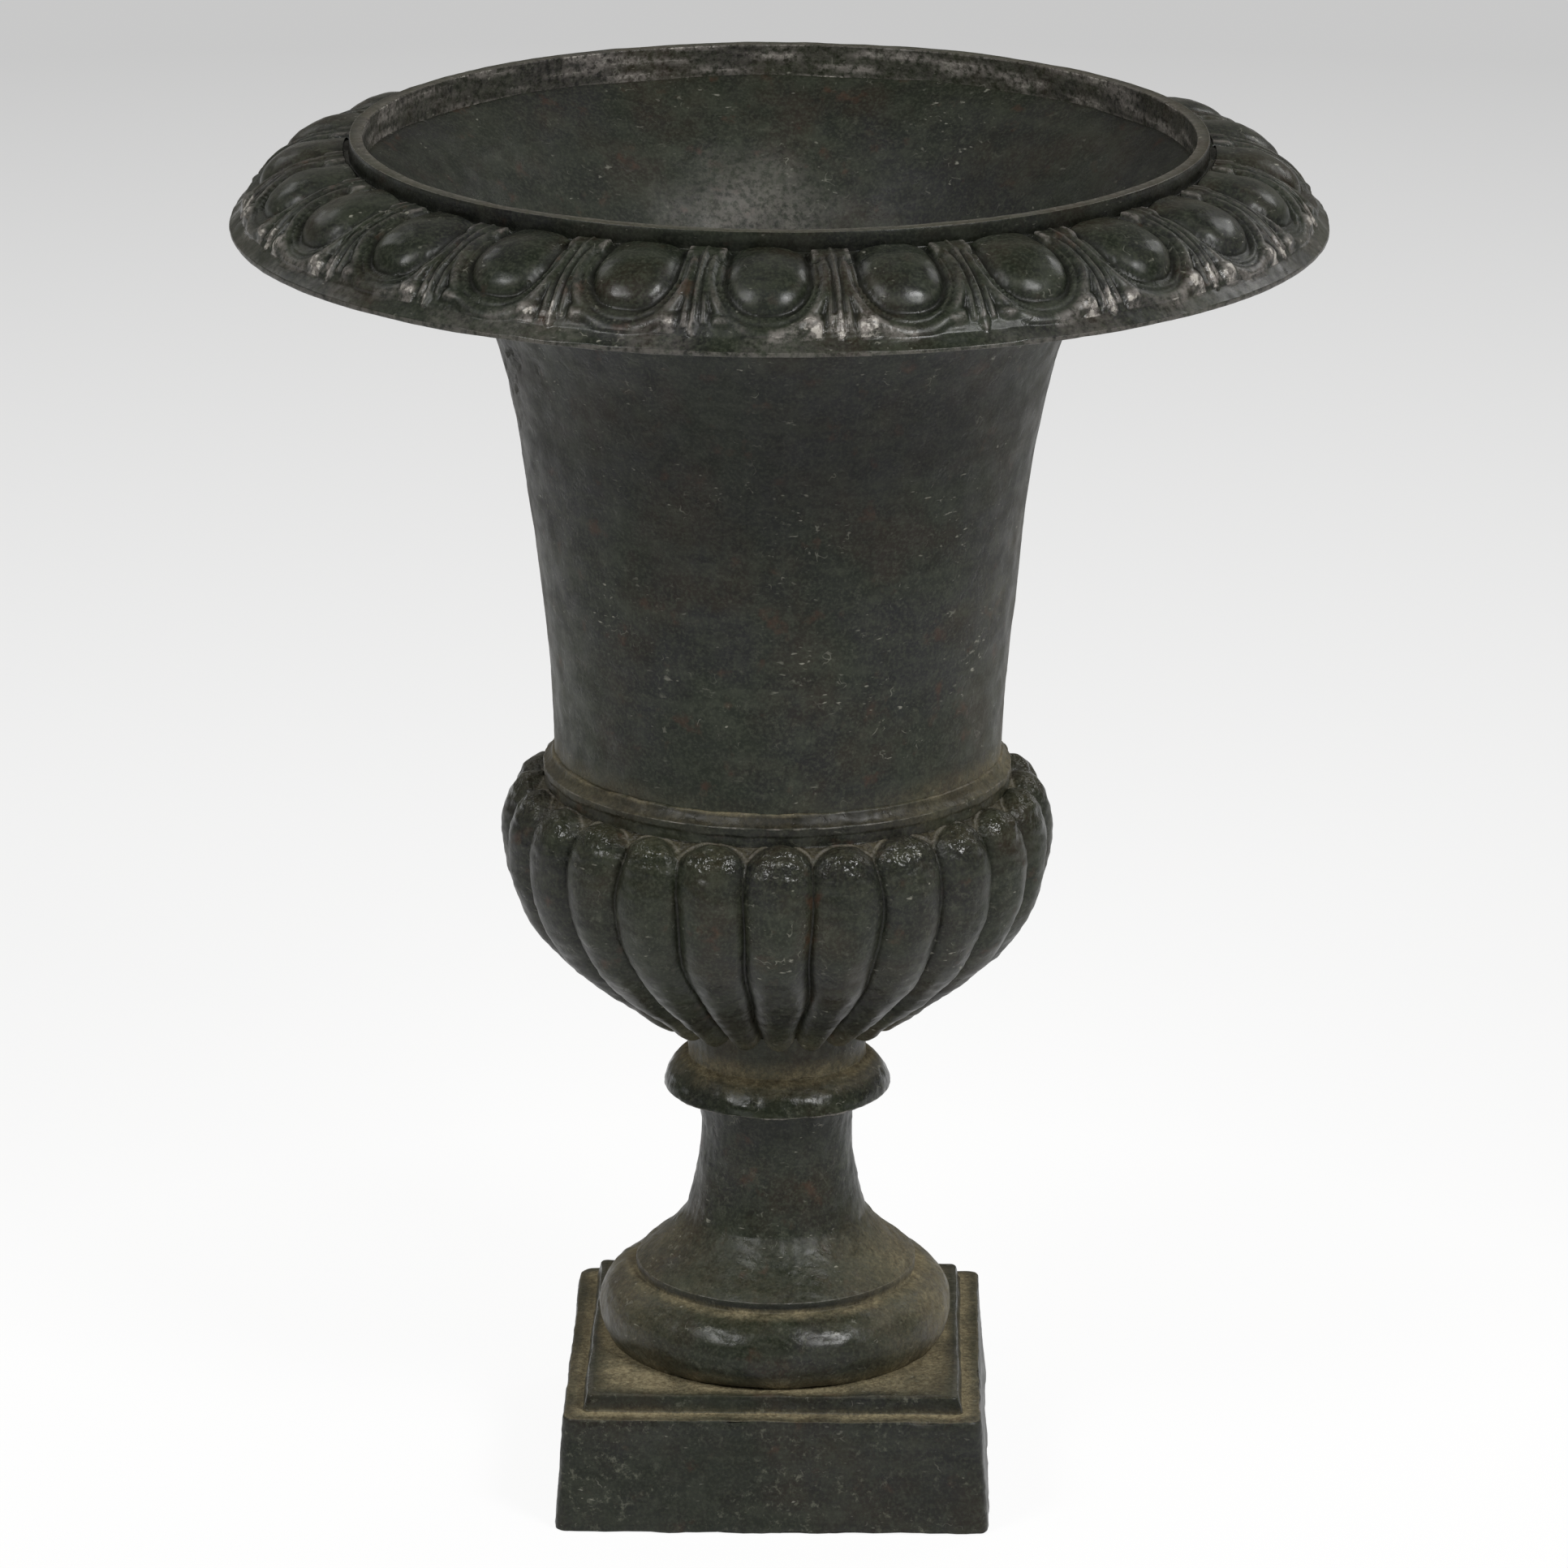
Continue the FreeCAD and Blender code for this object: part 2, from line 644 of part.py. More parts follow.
def make_rim():
    """Lip, egg-and-dart ovolo and brim: a ring that drops over the bell's mouth bead."""
    body = new_body("rim_ring", rim_base)
    field_start = lip_outer_radius + dim.lip_quirk
    field_start_height = dim.lip_height - dim.lip_stand - dim.lip_quirk
    brim_radius = lip_outer_radius + dim.rim_overhang
    field_end = brim_radius - dim.brim_width
    field_end_height = field_start_height - dim.rim_drop
    brim_height = field_end_height - dim.brim_fall
    brim_under = brim_height - dim.brim_thickness
    reach = field_end - field_start
    chord = root(reach * reach + dim.rim_drop * dim.rim_drop)
    rim_bend = (chord * chord / 4 + dim.rim_crown * dim.rim_crown) / (2 * dim.rim_crown)
    centre_depth = rim_bend - dim.rim_crown
    centre = (field_start + field_end) / 2 - centre_depth * dim.rim_drop / chord
    centre_height = (field_start_height + field_end_height) / 2 - centre_depth * reach / chord
    revolve(body, "ring", (
        (lip_radius, 0),
        (mouth_bead_radius + dim.rim_fit, 0),
        (mouth_bead_radius + dim.rim_fit, -rim_seat_depth),
        (mouth_flange_radius, -rim_seat_depth),
        (field_end, brim_under),
        (brim_radius, brim_under),
        (brim_radius, brim_height),
        (field_end, field_end_height, rim_bend),
        (field_start, field_start_height),
        (lip_outer_radius, field_start_height + dim.lip_quirk),
        (lip_outer_radius, dim.lip_height),
        (lip_radius, dim.lip_height),
    ))
    crown_turn = turn_of(reach, dim.rim_drop)

    def ornament(name, half_sizes, sink, side_turn):
        """One motif on the crown of the ovolo, sunk below its surface, repeated round the ring."""
        depth = rim_bend - sink
        item = add_ellipsoid(body, name, half_sizes, centre + depth * cosine(crown_turn),
                             centre_height + depth * sine(crown_turn), crown_turn, side_turn)
        doc.recompute()
        repeat(body, f"{name}_ring", [item], dim.egg_count)
        doc.recompute()

    ornament("husk", (dim.husk_half_height, dim.husk_half_length, dim.husk_half_width), dim.husk_sink, 0)
    ornament("egg", (dim.egg_half_height, dim.egg_half_length, dim.egg_half_width), dim.egg_sink, 0)
    ornament("dart", (dim.dart_half_height, dim.dart_half_length, dim.dart_half_width), dim.dart_sink,
             FULL_TURN / dim.egg_count / 2)

    under_bend = rim_bend - dim.rim_wall
    seat_reach = mouth_flange_radius - centre
    hollow_share = under_bend / rim_bend
    hollow_end = centre + (field_end - centre) * hollow_share
    hollow_floor = brim_under - dim.cut_overrun
    hollow = new_sketch(body, "hollow_outline", "XZ_Plane")
    draw_outline(hollow, (
        (mouth_bead_radius + dim.rim_fit, hollow_floor),
        (hollow_end, hollow_floor),
        (hollow_end, centre_height + (field_end_height - centre_height) * hollow_share, under_bend),
        (mouth_flange_radius, centre_height + root(under_bend * under_bend - seat_reach * seat_reach)),
        (mouth_flange_radius, -rim_seat_depth),
        (mouth_bead_radius + dim.rim_fit, -rim_seat_depth),
    ))
    groove = body.newObject("PartDesign::Groove", "hollow")
    groove.Profile = hollow
    groove.ReferenceAxis = (hollow, ["V_Axis"])
    groove.Angle = FULL_TURN
    tap = drill(body, "tapped_hole", dim.rim_bolt_radius, dim.rim_bolt_reach + dim.rim_tap_spare,
                rim_bolt_circle, -rim_seat_depth)
    repeat(body, "tapped_holes", [tap], dim.rim_bolt_count)
    return body


# Fasteners

def cylinder(name, radius, height, base=0):
    item = doc.addObject("Part::Cylinder", name)
    item.setExpression("Radius", radius.text)
    item.setExpression("Height", height.text)
    item.setExpression("Placement.Base.z", as_size(base).text)
    return item


def hexagon(name, radius, height, base=0):
    item = doc.addObject("Part::Prism", name)
    item.Polygon = HEXAGON_SIDES
    item.setExpression("Circumradius", radius.text)
    item.setExpression("Height", height.text)
    item.setExpression("Placement.Base.z", as_size(base).text)
    return item


def boolean(kind, name, base, tool):
    item = doc.addObject(f"Part::{kind}", name)
    item.Label = name
    item.Base = base
    item.Tool = tool
    return item


def washer(name, radius, hole_radius, thickness):
    return boolean("Cut", name, cylinder(f"{name}_disc", radius, thickness),
                   cylinder(f"{name}_hole", hole_radius, thickness))


def nut(name, radius, hole_radius, height):
    return boolean("Cut", name, hexagon(f"{name}_blank", radius, height),
                   cylinder(f"{name}_bore", hole_radius, height))


def bolt(name, head_radius, head_height, shank_radius, shank_length, head_below):
    """A hexagon bolt whose bearing face is at zero, with the head below it or above it."""
    head = hexagon(f"{name}_head", head_radius, head_height, -head_height if head_below else 0)
    shank = cylinder(f"{name}_shank", shank_radius, shank_length, 0 if head_below else -shank_length)
    return boolean("Fuse", name, head, shank)


def lift(item, height):
    """Stands a finished piece at a height on the upright axis."""
    item.setExpression("Placement.Base.z", height.text)
    return item


def ring_of(label, make, count, circle, height):
    """Equal fasteners, evenly spaced on a circle, each a piece of its own."""
    pieces = []
    for place in range(int(count.value)):
        piece = make(f"{label}_{place + 1}")
        angle = place * (FULL_TURN / count)
        piece.setExpression("Placement.Base.x", (circle * cosine(angle)).text)
        piece.setExpression("Placement.Base.y", (circle * sine(angle)).text)
        piece.setExpression("Placement.Base.z", height.text)
        pieces.append(piece)
    return pieces


def make_tie_rod():
    """The rod on the urn's axis, its nuts and washers, and the bar that bridges the plinth's deck hole."""
    bar_under = plinth_height - dim.deck_thickness - dim.bar_thickness
    rod_seat = bowl_base + floor_height
    stack = dim.rod_washer_thickness + dim.rod_nut_height
    rod_foot = bar_under - stack - dim.rod_projection
    rod_top = rod_seat + stack + dim.rod_projection
    rod = cylinder("tie_rod", dim.rod_radius, rod_top - rod_foot, rod_foot)
    rod.Label = "tie_rod"
    blank = doc.addObject("Part::Box", "clamp_bar_blank")
    bar_length = 2 * (deck_hole_radius + dim.bar_bearing)
    blank.setExpression("Length", bar_length.text)
    blank.setExpression("Width", dim.bar_width.text)
    blank.setExpression("Height", dim.bar_thickness.text)
    blank.setExpression("Placement.Base.x", (-bar_length / 2).text)
    blank.setExpression("Placement.Base.y", (-dim.bar_width / 2).text)
    bar = boolean("Cut", "clamp_bar", blank, cylinder("clamp_bar_hole", rod_hole_radius, dim.bar_thickness))
    washer_size = (dim.rod_washer_radius, rod_hole_radius, dim.rod_washer_thickness)
    nut_size = (dim.rod_nut_radius, dim.rod_radius, dim.rod_nut_height)
    return [
        rod,
        lift(bar, bar_under),
        lift(washer("rod_top_washer", *washer_size), rod_seat),
        lift(nut("rod_top_nut", *nut_size), rod_seat + dim.rod_washer_thickness),
        lift(washer("rod_foot_washer", *washer_size), bar_under - dim.rod_washer_thickness),
        lift(nut("rod_foot_nut", *nut_size), bar_under - stack),
    ]


def make_flange_bolts():
    """Bolts down through the bell's foot flange and the bowl's flange, with washers above and nuts below."""
    top = bell_base + dim.foot_flange_thickness
    under = bell_base - dim.foot_flange_thickness
    grip = dim.flange_washer_thickness + 2 * dim.foot_flange_thickness
    length = grip + dim.flange_nut_height + dim.flange_bolt_projection
    hole = dim.flange_bolt_radius + dim.flange_hole_clearance

    def one_bolt(name):
        return bolt(name, dim.flange_head_radius, dim.flange_head_height, dim.flange_bolt_radius, length,
                    head_below=False)

    def one_washer(name):
        return washer(name, dim.flange_washer_radius, hole, dim.flange_washer_thickness)

    def one_nut(name):
        return nut(name, dim.flange_head_radius, dim.flange_bolt_radius, dim.flange_nut_height)

    count, circle = dim.flange_bolt_count, flange_bolt_circle
    bolts = ring_of("flange_bolt", one_bolt, count, circle, top + dim.flange_washer_thickness)
    washers = ring_of("flange_washer", one_washer, count, circle, top)
    nuts = ring_of("flange_nut", one_nut, count, circle, under - dim.flange_nut_height)
    return bolts + washers + nuts


def make_rim_bolts():
    """Bolts up through the bell's mouth flange into the rim, with washers under their heads."""
    under = bell_base + mouth_flange_height
    length = dim.rim_washer_thickness + dim.mouth_flange_thickness + dim.rim_bolt_reach
    hole = dim.rim_bolt_radius + dim.rim_hole_clearance

    def one_bolt(name):
        return bolt(name, dim.rim_head_radius, dim.rim_head_height, dim.rim_bolt_radius, length,
                    head_below=True)

    def one_washer(name):
        return washer(name, dim.rim_washer_radius, hole, dim.rim_washer_thickness)

    count, circle = dim.rim_bolt_count, rim_bolt_circle
    seat = under - dim.rim_washer_thickness
    bolts = ring_of("rim_bolt", one_bolt, count, circle, seat)
    washers = ring_of("rim_washer", one_washer, count, circle, seat)
    return bolts + washers


def check_and_write(pieces):
    """Stops on any failed object or bad solid, then writes each piece to its own file."""
    for item in doc.Objects:
        if "Invalid" in item.State or "Error" in item.State:
            raise RuntimeError(f"{item.Name} failed: {item.State}")
    for piece in pieces:
        if piece.Shape.isNull() or not piece.Shape.isValid() or not piece.Shape.Solids:
            raise RuntimeError(f"{piece.Label} has no valid solid")
    os.makedirs("parts", exist_ok=True)
    for piece in pieces:
        piece.Shape.exportStep(f"parts/{piece.Label}.step")
        box = piece.Shape.BoundBox
        print(f"{piece.Label}: {len(piece.Shape.Solids)} solids, {piece.Shape.Volume:.0f} mm3, "
              f"z {box.ZMin:.1f} to {box.ZMax:.1f}, width {box.XLength:.1f}")


castings = [make_plinth(), make_pedestal(), make_bowl(), make_bell(), make_rim()]
fasteners = make_tie_rod() + make_flange_bolts() + make_rim_bolts()
doc.recompute()
check_and_write(castings + fasteners)
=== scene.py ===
"""A painted cast-iron garden urn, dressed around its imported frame. Lengths are in millimetres until a mesh is made."""
import math

import bpy
import numpy as np
from mathutils import Matrix, Vector


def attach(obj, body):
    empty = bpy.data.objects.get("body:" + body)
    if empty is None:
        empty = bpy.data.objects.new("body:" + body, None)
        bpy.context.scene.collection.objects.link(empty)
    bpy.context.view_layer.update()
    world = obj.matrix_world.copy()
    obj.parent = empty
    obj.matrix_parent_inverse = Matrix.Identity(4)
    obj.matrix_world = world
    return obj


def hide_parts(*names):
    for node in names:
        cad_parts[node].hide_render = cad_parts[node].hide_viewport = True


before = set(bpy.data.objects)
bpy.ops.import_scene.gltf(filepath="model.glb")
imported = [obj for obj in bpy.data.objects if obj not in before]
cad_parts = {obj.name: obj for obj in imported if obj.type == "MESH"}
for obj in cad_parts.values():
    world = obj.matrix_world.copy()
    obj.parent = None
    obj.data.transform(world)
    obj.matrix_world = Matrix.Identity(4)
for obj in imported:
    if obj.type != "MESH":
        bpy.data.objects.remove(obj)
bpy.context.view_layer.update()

MM = 0.001
FULL_TURN = 2 * math.pi
rng = np.random.default_rng(24)

# Places shared by neighbouring castings, as radius or height
STEP_TOP = 68.5
NECK_RADIUS = 45.0
NECK_SEAT = 221.5
BELL_SEAT = 372.0
BELL_FOOT_RADIUS = 112.2
SHOULDER_TOP = 383.5
FLANGE_BORE = 88.0
MOUTH_FLANGE_RADIUS = 226.0
MOUTH_FLANGE_TOP = 676.0
MOUTH_RADIUS = 203.5
MOUTH_BEAD_RADIUS = 212.0
MOUTH_BEAD_TOP = 683.9
LIP_SEAT = 684.0
URN_HEIGHT = 700.0

LEFT_SHARE = 0.6

# How finely a section is divided
DENSE_STEP = 0.25
EDGE_SOFTENING = 1.0
ROW_STEP = 5.0
ROW_TURN = math.radians(14)


def smooth_step(value, start, end):
    """0 before start and 1 after end, with a smooth rise between."""
    share = np.clip((value - start) / (end - start), 0, 1)
    return share * share * (3 - 2 * share)


def ridge(offset, half_width):
    """A rounded ridge: 1 on its line, 0 from half_width away."""
    return np.clip(1 - (offset / half_width) ** 2, 0, None)


def standing_out(height, reach):
    """How far each point of a relief stands above the mean of its neighbours."""
    window = [(down, across) for down in range(-reach, reach + 1) for across in range(-reach, reach + 1)]
    return height - sum(np.roll(height, shift, (0, 1)) for shift in window) / len(window)


class Outline:
    """A closed section, radius and height, drawn with the metal on its left."""

    def __init__(self, radius, height):
        self.points = [(radius, height)]
        self.names = [""]
        self.steps = [ROW_STEP]
        self.along = [0.0]

    def add(self, points, name, step):
        last = np.array(self.points[-1])
        travelled = 0.0
        for point in points:
            travelled += float(np.hypot(*(np.array(point) - last)))
            last = np.array(point)
            self.points.append(tuple(point))
            self.names.append(name)
            self.steps.append(step)
            self.along.append(travelled)
        return self

    def line(self, radius, height, name="", step=ROW_STEP):
        start, end = np.array(self.points[-1]), np.array((radius, height))
        count = max(2, int(np.hypot(*(end - start)) / DENSE_STEP))
        return self.add([start + (end - start) * k / count for k in range(1, count + 1)], name, step)

    def arc(self, radius, height, bend, name="", step=ROW_STEP):
        """An arc of radius |bend|, to the left where bend is positive."""
        start, end = np.array(self.points[-1]), np.array((radius, height))
        chord = end - start
        length = np.hypot(*chord)
        left = np.array((-chord[1], chord[0])) / length
        side = math.copysign(1, bend)
        centre = (start + end) / 2 + left * side * math.sqrt(max(bend * bend - length * length / 4, 0))
        turn = 2 * math.asin(min(1, length / 2 / abs(bend))) * side
        count = max(3, int(abs(turn * bend) / DENSE_STEP))
        spoke = start - centre
        points = []
        for k in range(1, count + 1):
            c, s = math.cos(turn * k / count), math.sin(turn * k / count)
            points.append(centre + np.array((c * spoke[0] - s * spoke[1], s * spoke[0] + c * spoke[1])))
        return self.add(points, name, step)

    def close(self, name=""):
        return self.line(*self.points[0], name)

    def section(self, softening=EDGE_SOFTENING):
        """Rows of the section with its edges rounded: closer where it turns or where a finer step is asked for."""
        dense = np.array(self.points[1:])
        reach = max(1, int(softening / DENSE_STEP))
        window = range(-reach, reach + 1)
        round_edges = sum(np.roll(dense, k, axis=0) for k in window) / len(window)
        tangent = np.roll(round_edges, -1, axis=0) - np.roll(round_edges, 1, axis=0)
        heading = np.unwrap(np.arctan2(tangent[:, 1], tangent[:, 0]))
        gone = np.hypot(*(round_edges - np.roll(round_edges, 1, axis=0)).T)
        turned = np.abs(np.diff(heading, prepend=heading[0]))
        cost = np.cumsum(gone / np.array(self.steps[1:]) + turned / ROW_TURN)
        picks = np.unique(np.searchsorted(cost, np.arange(cost[0], cost[-1], 1.0)))
        picks = picks[np.array(self.names[1:])[picks] != "skip"]
        tangent /= np.hypot(*tangent.T)[:, None]
        return Section(round_edges[picks], np.stack((tangent[:, 1], -tangent[:, 0]), 1)[picks],
                       np.array(self.names[1:])[picks], np.array(self.along[1:])[picks])


class Section:
    """Rows of a section: place, outward direction, the name of the stretch and the distance along it."""

    def __init__(self, points, outward, names, along):
        self.points, self.outward, self.names, self.along = points, outward, names, along
        before, after = np.roll(outward, 1, axis=0), np.roll(outward, -1, axis=0)
        self.edge = smooth_step(before[:, 0] * after[:, 1] - before[:, 1] * after[:, 0], 0.28, 0.42)

    def on(self, *names):
        return np.isin(self.names, names)


class Lumps:
    """Smooth random unevenness in space, as a sum of waves, in shares of its height."""

    def __init__(self, size, waves=14):
        heading = rng.normal(size=(waves, 3))
        heading /= np.linalg.norm(heading, axis=1)[:, None]
        self.wave = heading * FULL_TURN / (size * rng.uniform(0.7, 1.5, (waves, 1)))
        self.phase = rng.uniform(0, FULL_TURN, waves)

    def at(self, points):
        total = sum(np.sin(points @ wave + phase) for wave, phase in zip(self.wave, self.phase))
        return total / math.sqrt(len(self.phase) / 2)


broad_lumps = Lumps(90)
hand_lumps = Lumps(22)
grain_lumps = Lumps(7)


def ring_points(section, turns):
    """Points (row, column, 3) of a section turned about the axis. A turn of 0 is the front, and it grows to the right."""
    radius, height = section.points[:, :1], section.points[:, 1:]
    return np.stack(np.broadcast_arrays(radius * np.sin(turns), -radius * np.cos(turns), height), -1)


def ring_outward(section, turns):
    across, up = section.outward[:, :1], section.outward[:, 1:]
    return np.stack(np.broadcast_arrays(across * np.sin(turns), -across * np.cos(turns), up), -1)


def uneven(points, outward, broad, hand, grain):
    """Moves points in and out by the unevenness of a sand casting."""
    height = broad * broad_lumps.at(points) + hand * hand_lumps.at(points) + grain * grain_lumps.at(points)
    return points + outward * height[..., None]


def border(patch):
    """The outermost entries of a table, once round."""
    return np.concatenate((patch[0, :-1], patch[:-1, -1], patch[-1, :0:-1], patch[:0:-1, 0]))


def skin(name, points, masks, holes=()):
    """A closed mesh from a grid of rows and columns that both run round, with masks as point attributes.

    Each hole is two patches of the grid, upper rows, lower rows and columns, which are left out and joined by a wall.
    """
    rows, columns = points.shape[:2]
    number = np.arange(rows * columns).reshape(rows, columns)
    below = np.roll(number, -1, axis=0)
    faces = np.stack((number, np.roll(number, -1, axis=1), np.roll(below, -1, axis=1), below), -1)
    kept = np.ones((rows, columns), bool)
    walls = []
    for upper, lower, across in holes:
        kept[np.ix_(upper[:-1], across[:-1])] = False
        kept[np.ix_(lower[:-1], across[:-1])] = False
        top, foot = border(number[np.ix_(upper, across)]), border(number[np.ix_(lower[::-1], across)])
        walls.append(np.stack((top, np.roll(top, -1), np.roll(foot, -1), foot), -1))
    used, faces = np.unique(np.concatenate([faces[kept]] + walls), return_inverse=True)
    mesh = bpy.data.meshes.new(name)
    mesh.from_pydata((points.reshape(-1, 3)[used] * MM).tolist(), [], faces.reshape(-1, 4).tolist())
    mesh.shade_smooth()
    for mask, values in masks.items():
        layer = mesh.attributes.new(mask, "FLOAT", "POINT")
        layer.data.foreach_set("value", np.broadcast_to(values, (rows, columns)).astype(np.float32).ravel()[used])
    piece = bpy.data.objects.new(name, mesh)
    bpy.context.scene.collection.objects.link(piece)
    return piece


def flanks(turns, power):
    """How far a point lies to the sides, with the left side at LEFT_SHARE of the right."""
    share = np.sin(turns)
    return np.where(share > 0, 1.0, LEFT_SHARE) * np.abs(share) ** power


def even_turns(count):
    return np.arange(count) * FULL_TURN / count


def motif_turns(motifs, columns, squeeze, phase):
    """Column angles that crowd together between motifs, where the relief is finest."""
    place = np.arange(motifs * columns) / columns - 0.5
    share = place - np.round(place)
    place += squeeze * np.sin(FULL_TURN * share)
    return place * FULL_TURN / motifs + phase


# Rim: lip, egg-and-dart and brim
MOTIFS = 24
EGG_PHASE = math.radians(-1.2)
RIM_COLUMNS, RIM_SQUEEZE = 48, 0.06
LIP_INNER, LIP_OUTER = 205.0, 211.5
LIP_FOOT = 690.5
FIELD_START = (213.5, 688.5)
FIELD_END = (264.0, 661.7)
FIELD_BEND = 61.0
BRIM_EDGE = (271.0, 657.2)
BRIM_THICKNESS = 2.2
RIM_WALL = 7.0
FIELD_STEP = 1.0
EGG_START, EGG_MIDDLE, EGG_BELOW = -2.8, 27.0, 20.5
EGG_TOP_HALF, EGG_HALF_WIDTH, EGG_HEIGHT = 16.4, 18.8, 7.2
MOAT_GAP, MOAT_HALF, MOAT_DEPTH = 1.3, 1.7, 1.6
SKIRT_HEIGHT, SKIRT_START, SKIRT_END = 1.7, 57.0, 69.0
THREAD_GAP, THREAD_HALF, THREAD_HEIGHT = 3.6, 1.4, 2.6
SHELL_GAP, SHELL_HALF, SHELL_HEIGHT = 8.0, 3.2, 4.4
CAP_HALF, CAP_START, CAP_END, CAP_HEIGHT = 10.5, -2.4, 11.0, 4.4
DART_PLACES, DART_HALVES = (3.0, 10.0, 22.0, 44.0, 60.0), (10.0, 8.5, 5.0, 7.0, 9.5)
DART_HEIGHT, RIB_HEIGHT, LEAF_END, SPEAR_END = 3.2, 1.9, 54.5, 62.5
BLUNT_START, BLUNT_END, BLUNT_HEIGHT = 42.5, 56.0, 6.2
RELIEF_FADE, RELIEF_END = 59.0, 62.5
BLUNT_ACROSS, BLUNT_HALF = 20.5, 6.0


def egg_and_dart(turn, along, radius):
    """Height of the relief above the plain ovolo, where it is rubbed smooth, and where it is painted pale: paint
    chipping with painted highlight.
    """
    pitch = FULL_TURN * radius / MOTIFS
    unit = (turn - EGG_PHASE) * MOTIFS / FULL_TURN
    number = np.round(unit).astype(int)
    across = (unit - number) * pitch
    from_dart = pitch / 2 - np.abs(across)
    variety = rng_table[number % MOTIFS]
    side = np.where(across > 0, variety[..., 0], variety[..., 1])

    waist = np.interp(along, (EGG_START, EGG_MIDDLE), (EGG_TOP_HALF, EGG_HALF_WIDTH))
    oval = (np.abs(across) / waist) ** 2.3 + np.clip((along - EGG_MIDDLE) / EGG_BELOW, 0, None) ** 2
    egg = EGG_HEIGHT * np.clip(1 - oval, 0, None) ** 0.56
    egg = egg * smooth_step(along, EGG_START, EGG_START + 2.5) * (0.72 + 0.28 * smooth_step(along, 4, 24))
    gap = (oval ** (1 / 2.3) - 1) * EGG_HALF_WIDTH
    lower = smooth_step(along, 7, 16)
    thread = THREAD_HEIGHT * np.sqrt(ridge(gap - THREAD_GAP, THREAD_HALF)) * lower
    shell = SHELL_HEIGHT * np.sqrt(ridge(gap - SHELL_GAP, SHELL_HALF)) * lower
    blunt_end = BLUNT_END + 1.6 * side
    blunt = (BLUNT_HEIGHT + 0.7 * side) * ridge(np.abs(across) - BLUNT_ACROSS, BLUNT_HALF) ** 0.35
    blunt *= smooth_step(along, BLUNT_START, BLUNT_END - 3) * np.clip((blunt_end + 4 - along) / 6, 0, 1)
    blunt *= gap > THREAD_GAP

    half = np.interp(along, DART_PLACES, DART_HALVES)
    share = from_dart / half
    ribs = np.maximum(ridge(share, 0.22), ridge(share - 0.62, 0.22))
    leaf = (DART_HEIGHT + RIB_HEIGHT * ribs) * np.sqrt(ridge(share, 1.08))
    leaf_end = LEAF_END + 2.0 * side
    leaf *= smooth_step(along, CAP_START, CAP_START + 2) * (1 - smooth_step(along, leaf_end, leaf_end + 3))
    spear_half = np.clip((SPEAR_END - along) * 0.55, 0.01, 5.0)
    spear = 4.2 * ridge(from_dart, spear_half) ** 0.7 * smooth_step(along, 44, 54)
    cap = CAP_HEIGHT * (1 - smooth_step(from_dart, CAP_HALF - 2.2, CAP_HALF))
    cap *= smooth_step(along, CAP_START, CAP_START + 1.2) * (1 - smooth_step(along, CAP_END - 3, CAP_END + 4))

    height = np.maximum.reduce([egg, thread, shell, blunt, leaf, spear, cap])
    moat = MOAT_DEPTH * ridge(gap - MOAT_GAP, MOAT_HALF) * lower * (height < THREAD_HEIGHT)
    height = (height - moat) * (1 - smooth_step(along, RELIEF_FADE, RELIEF_END))
    height = height * (1 - 0.35 * smooth_step(along, 40, 58))
    skirt = SKIRT_HEIGHT * smooth_step(along, 44, 54) * (1 - smooth_step(along, SKIRT_START, SKIRT_END))
    height = np.maximum(height, skirt)
    shine = np.clip(egg / EGG_HEIGHT, 0, 1)
    # Blunt ends and the shells' lower edges are painted pale: paint chipping with painted highlight.
    facet_start = blunt_end - 7 + 0.9 * (from_dart - 9)
    facet = smooth_step(along, facet_start, facet_start + 3) * (1 - smooth_step(along, blunt_end + 2, blunt_end + 4))
    facet *= smooth_step(np.maximum(blunt, spear), 0.6, 1.6) * np.clip(0.6 + 0.7 * side, 0, 1)
    pale_shell_edge = ridge(gap - SHELL_GAP - 1, SHELL_HALF) * smooth_step(along, 43, 51) * np.clip(0.2 + 0.55 * side, 0, 0.7)
    return height, shine, np.maximum(facet, pale_shell_edge)


rng_table = rng.uniform(-1, 1, (MOTIFS, 2))


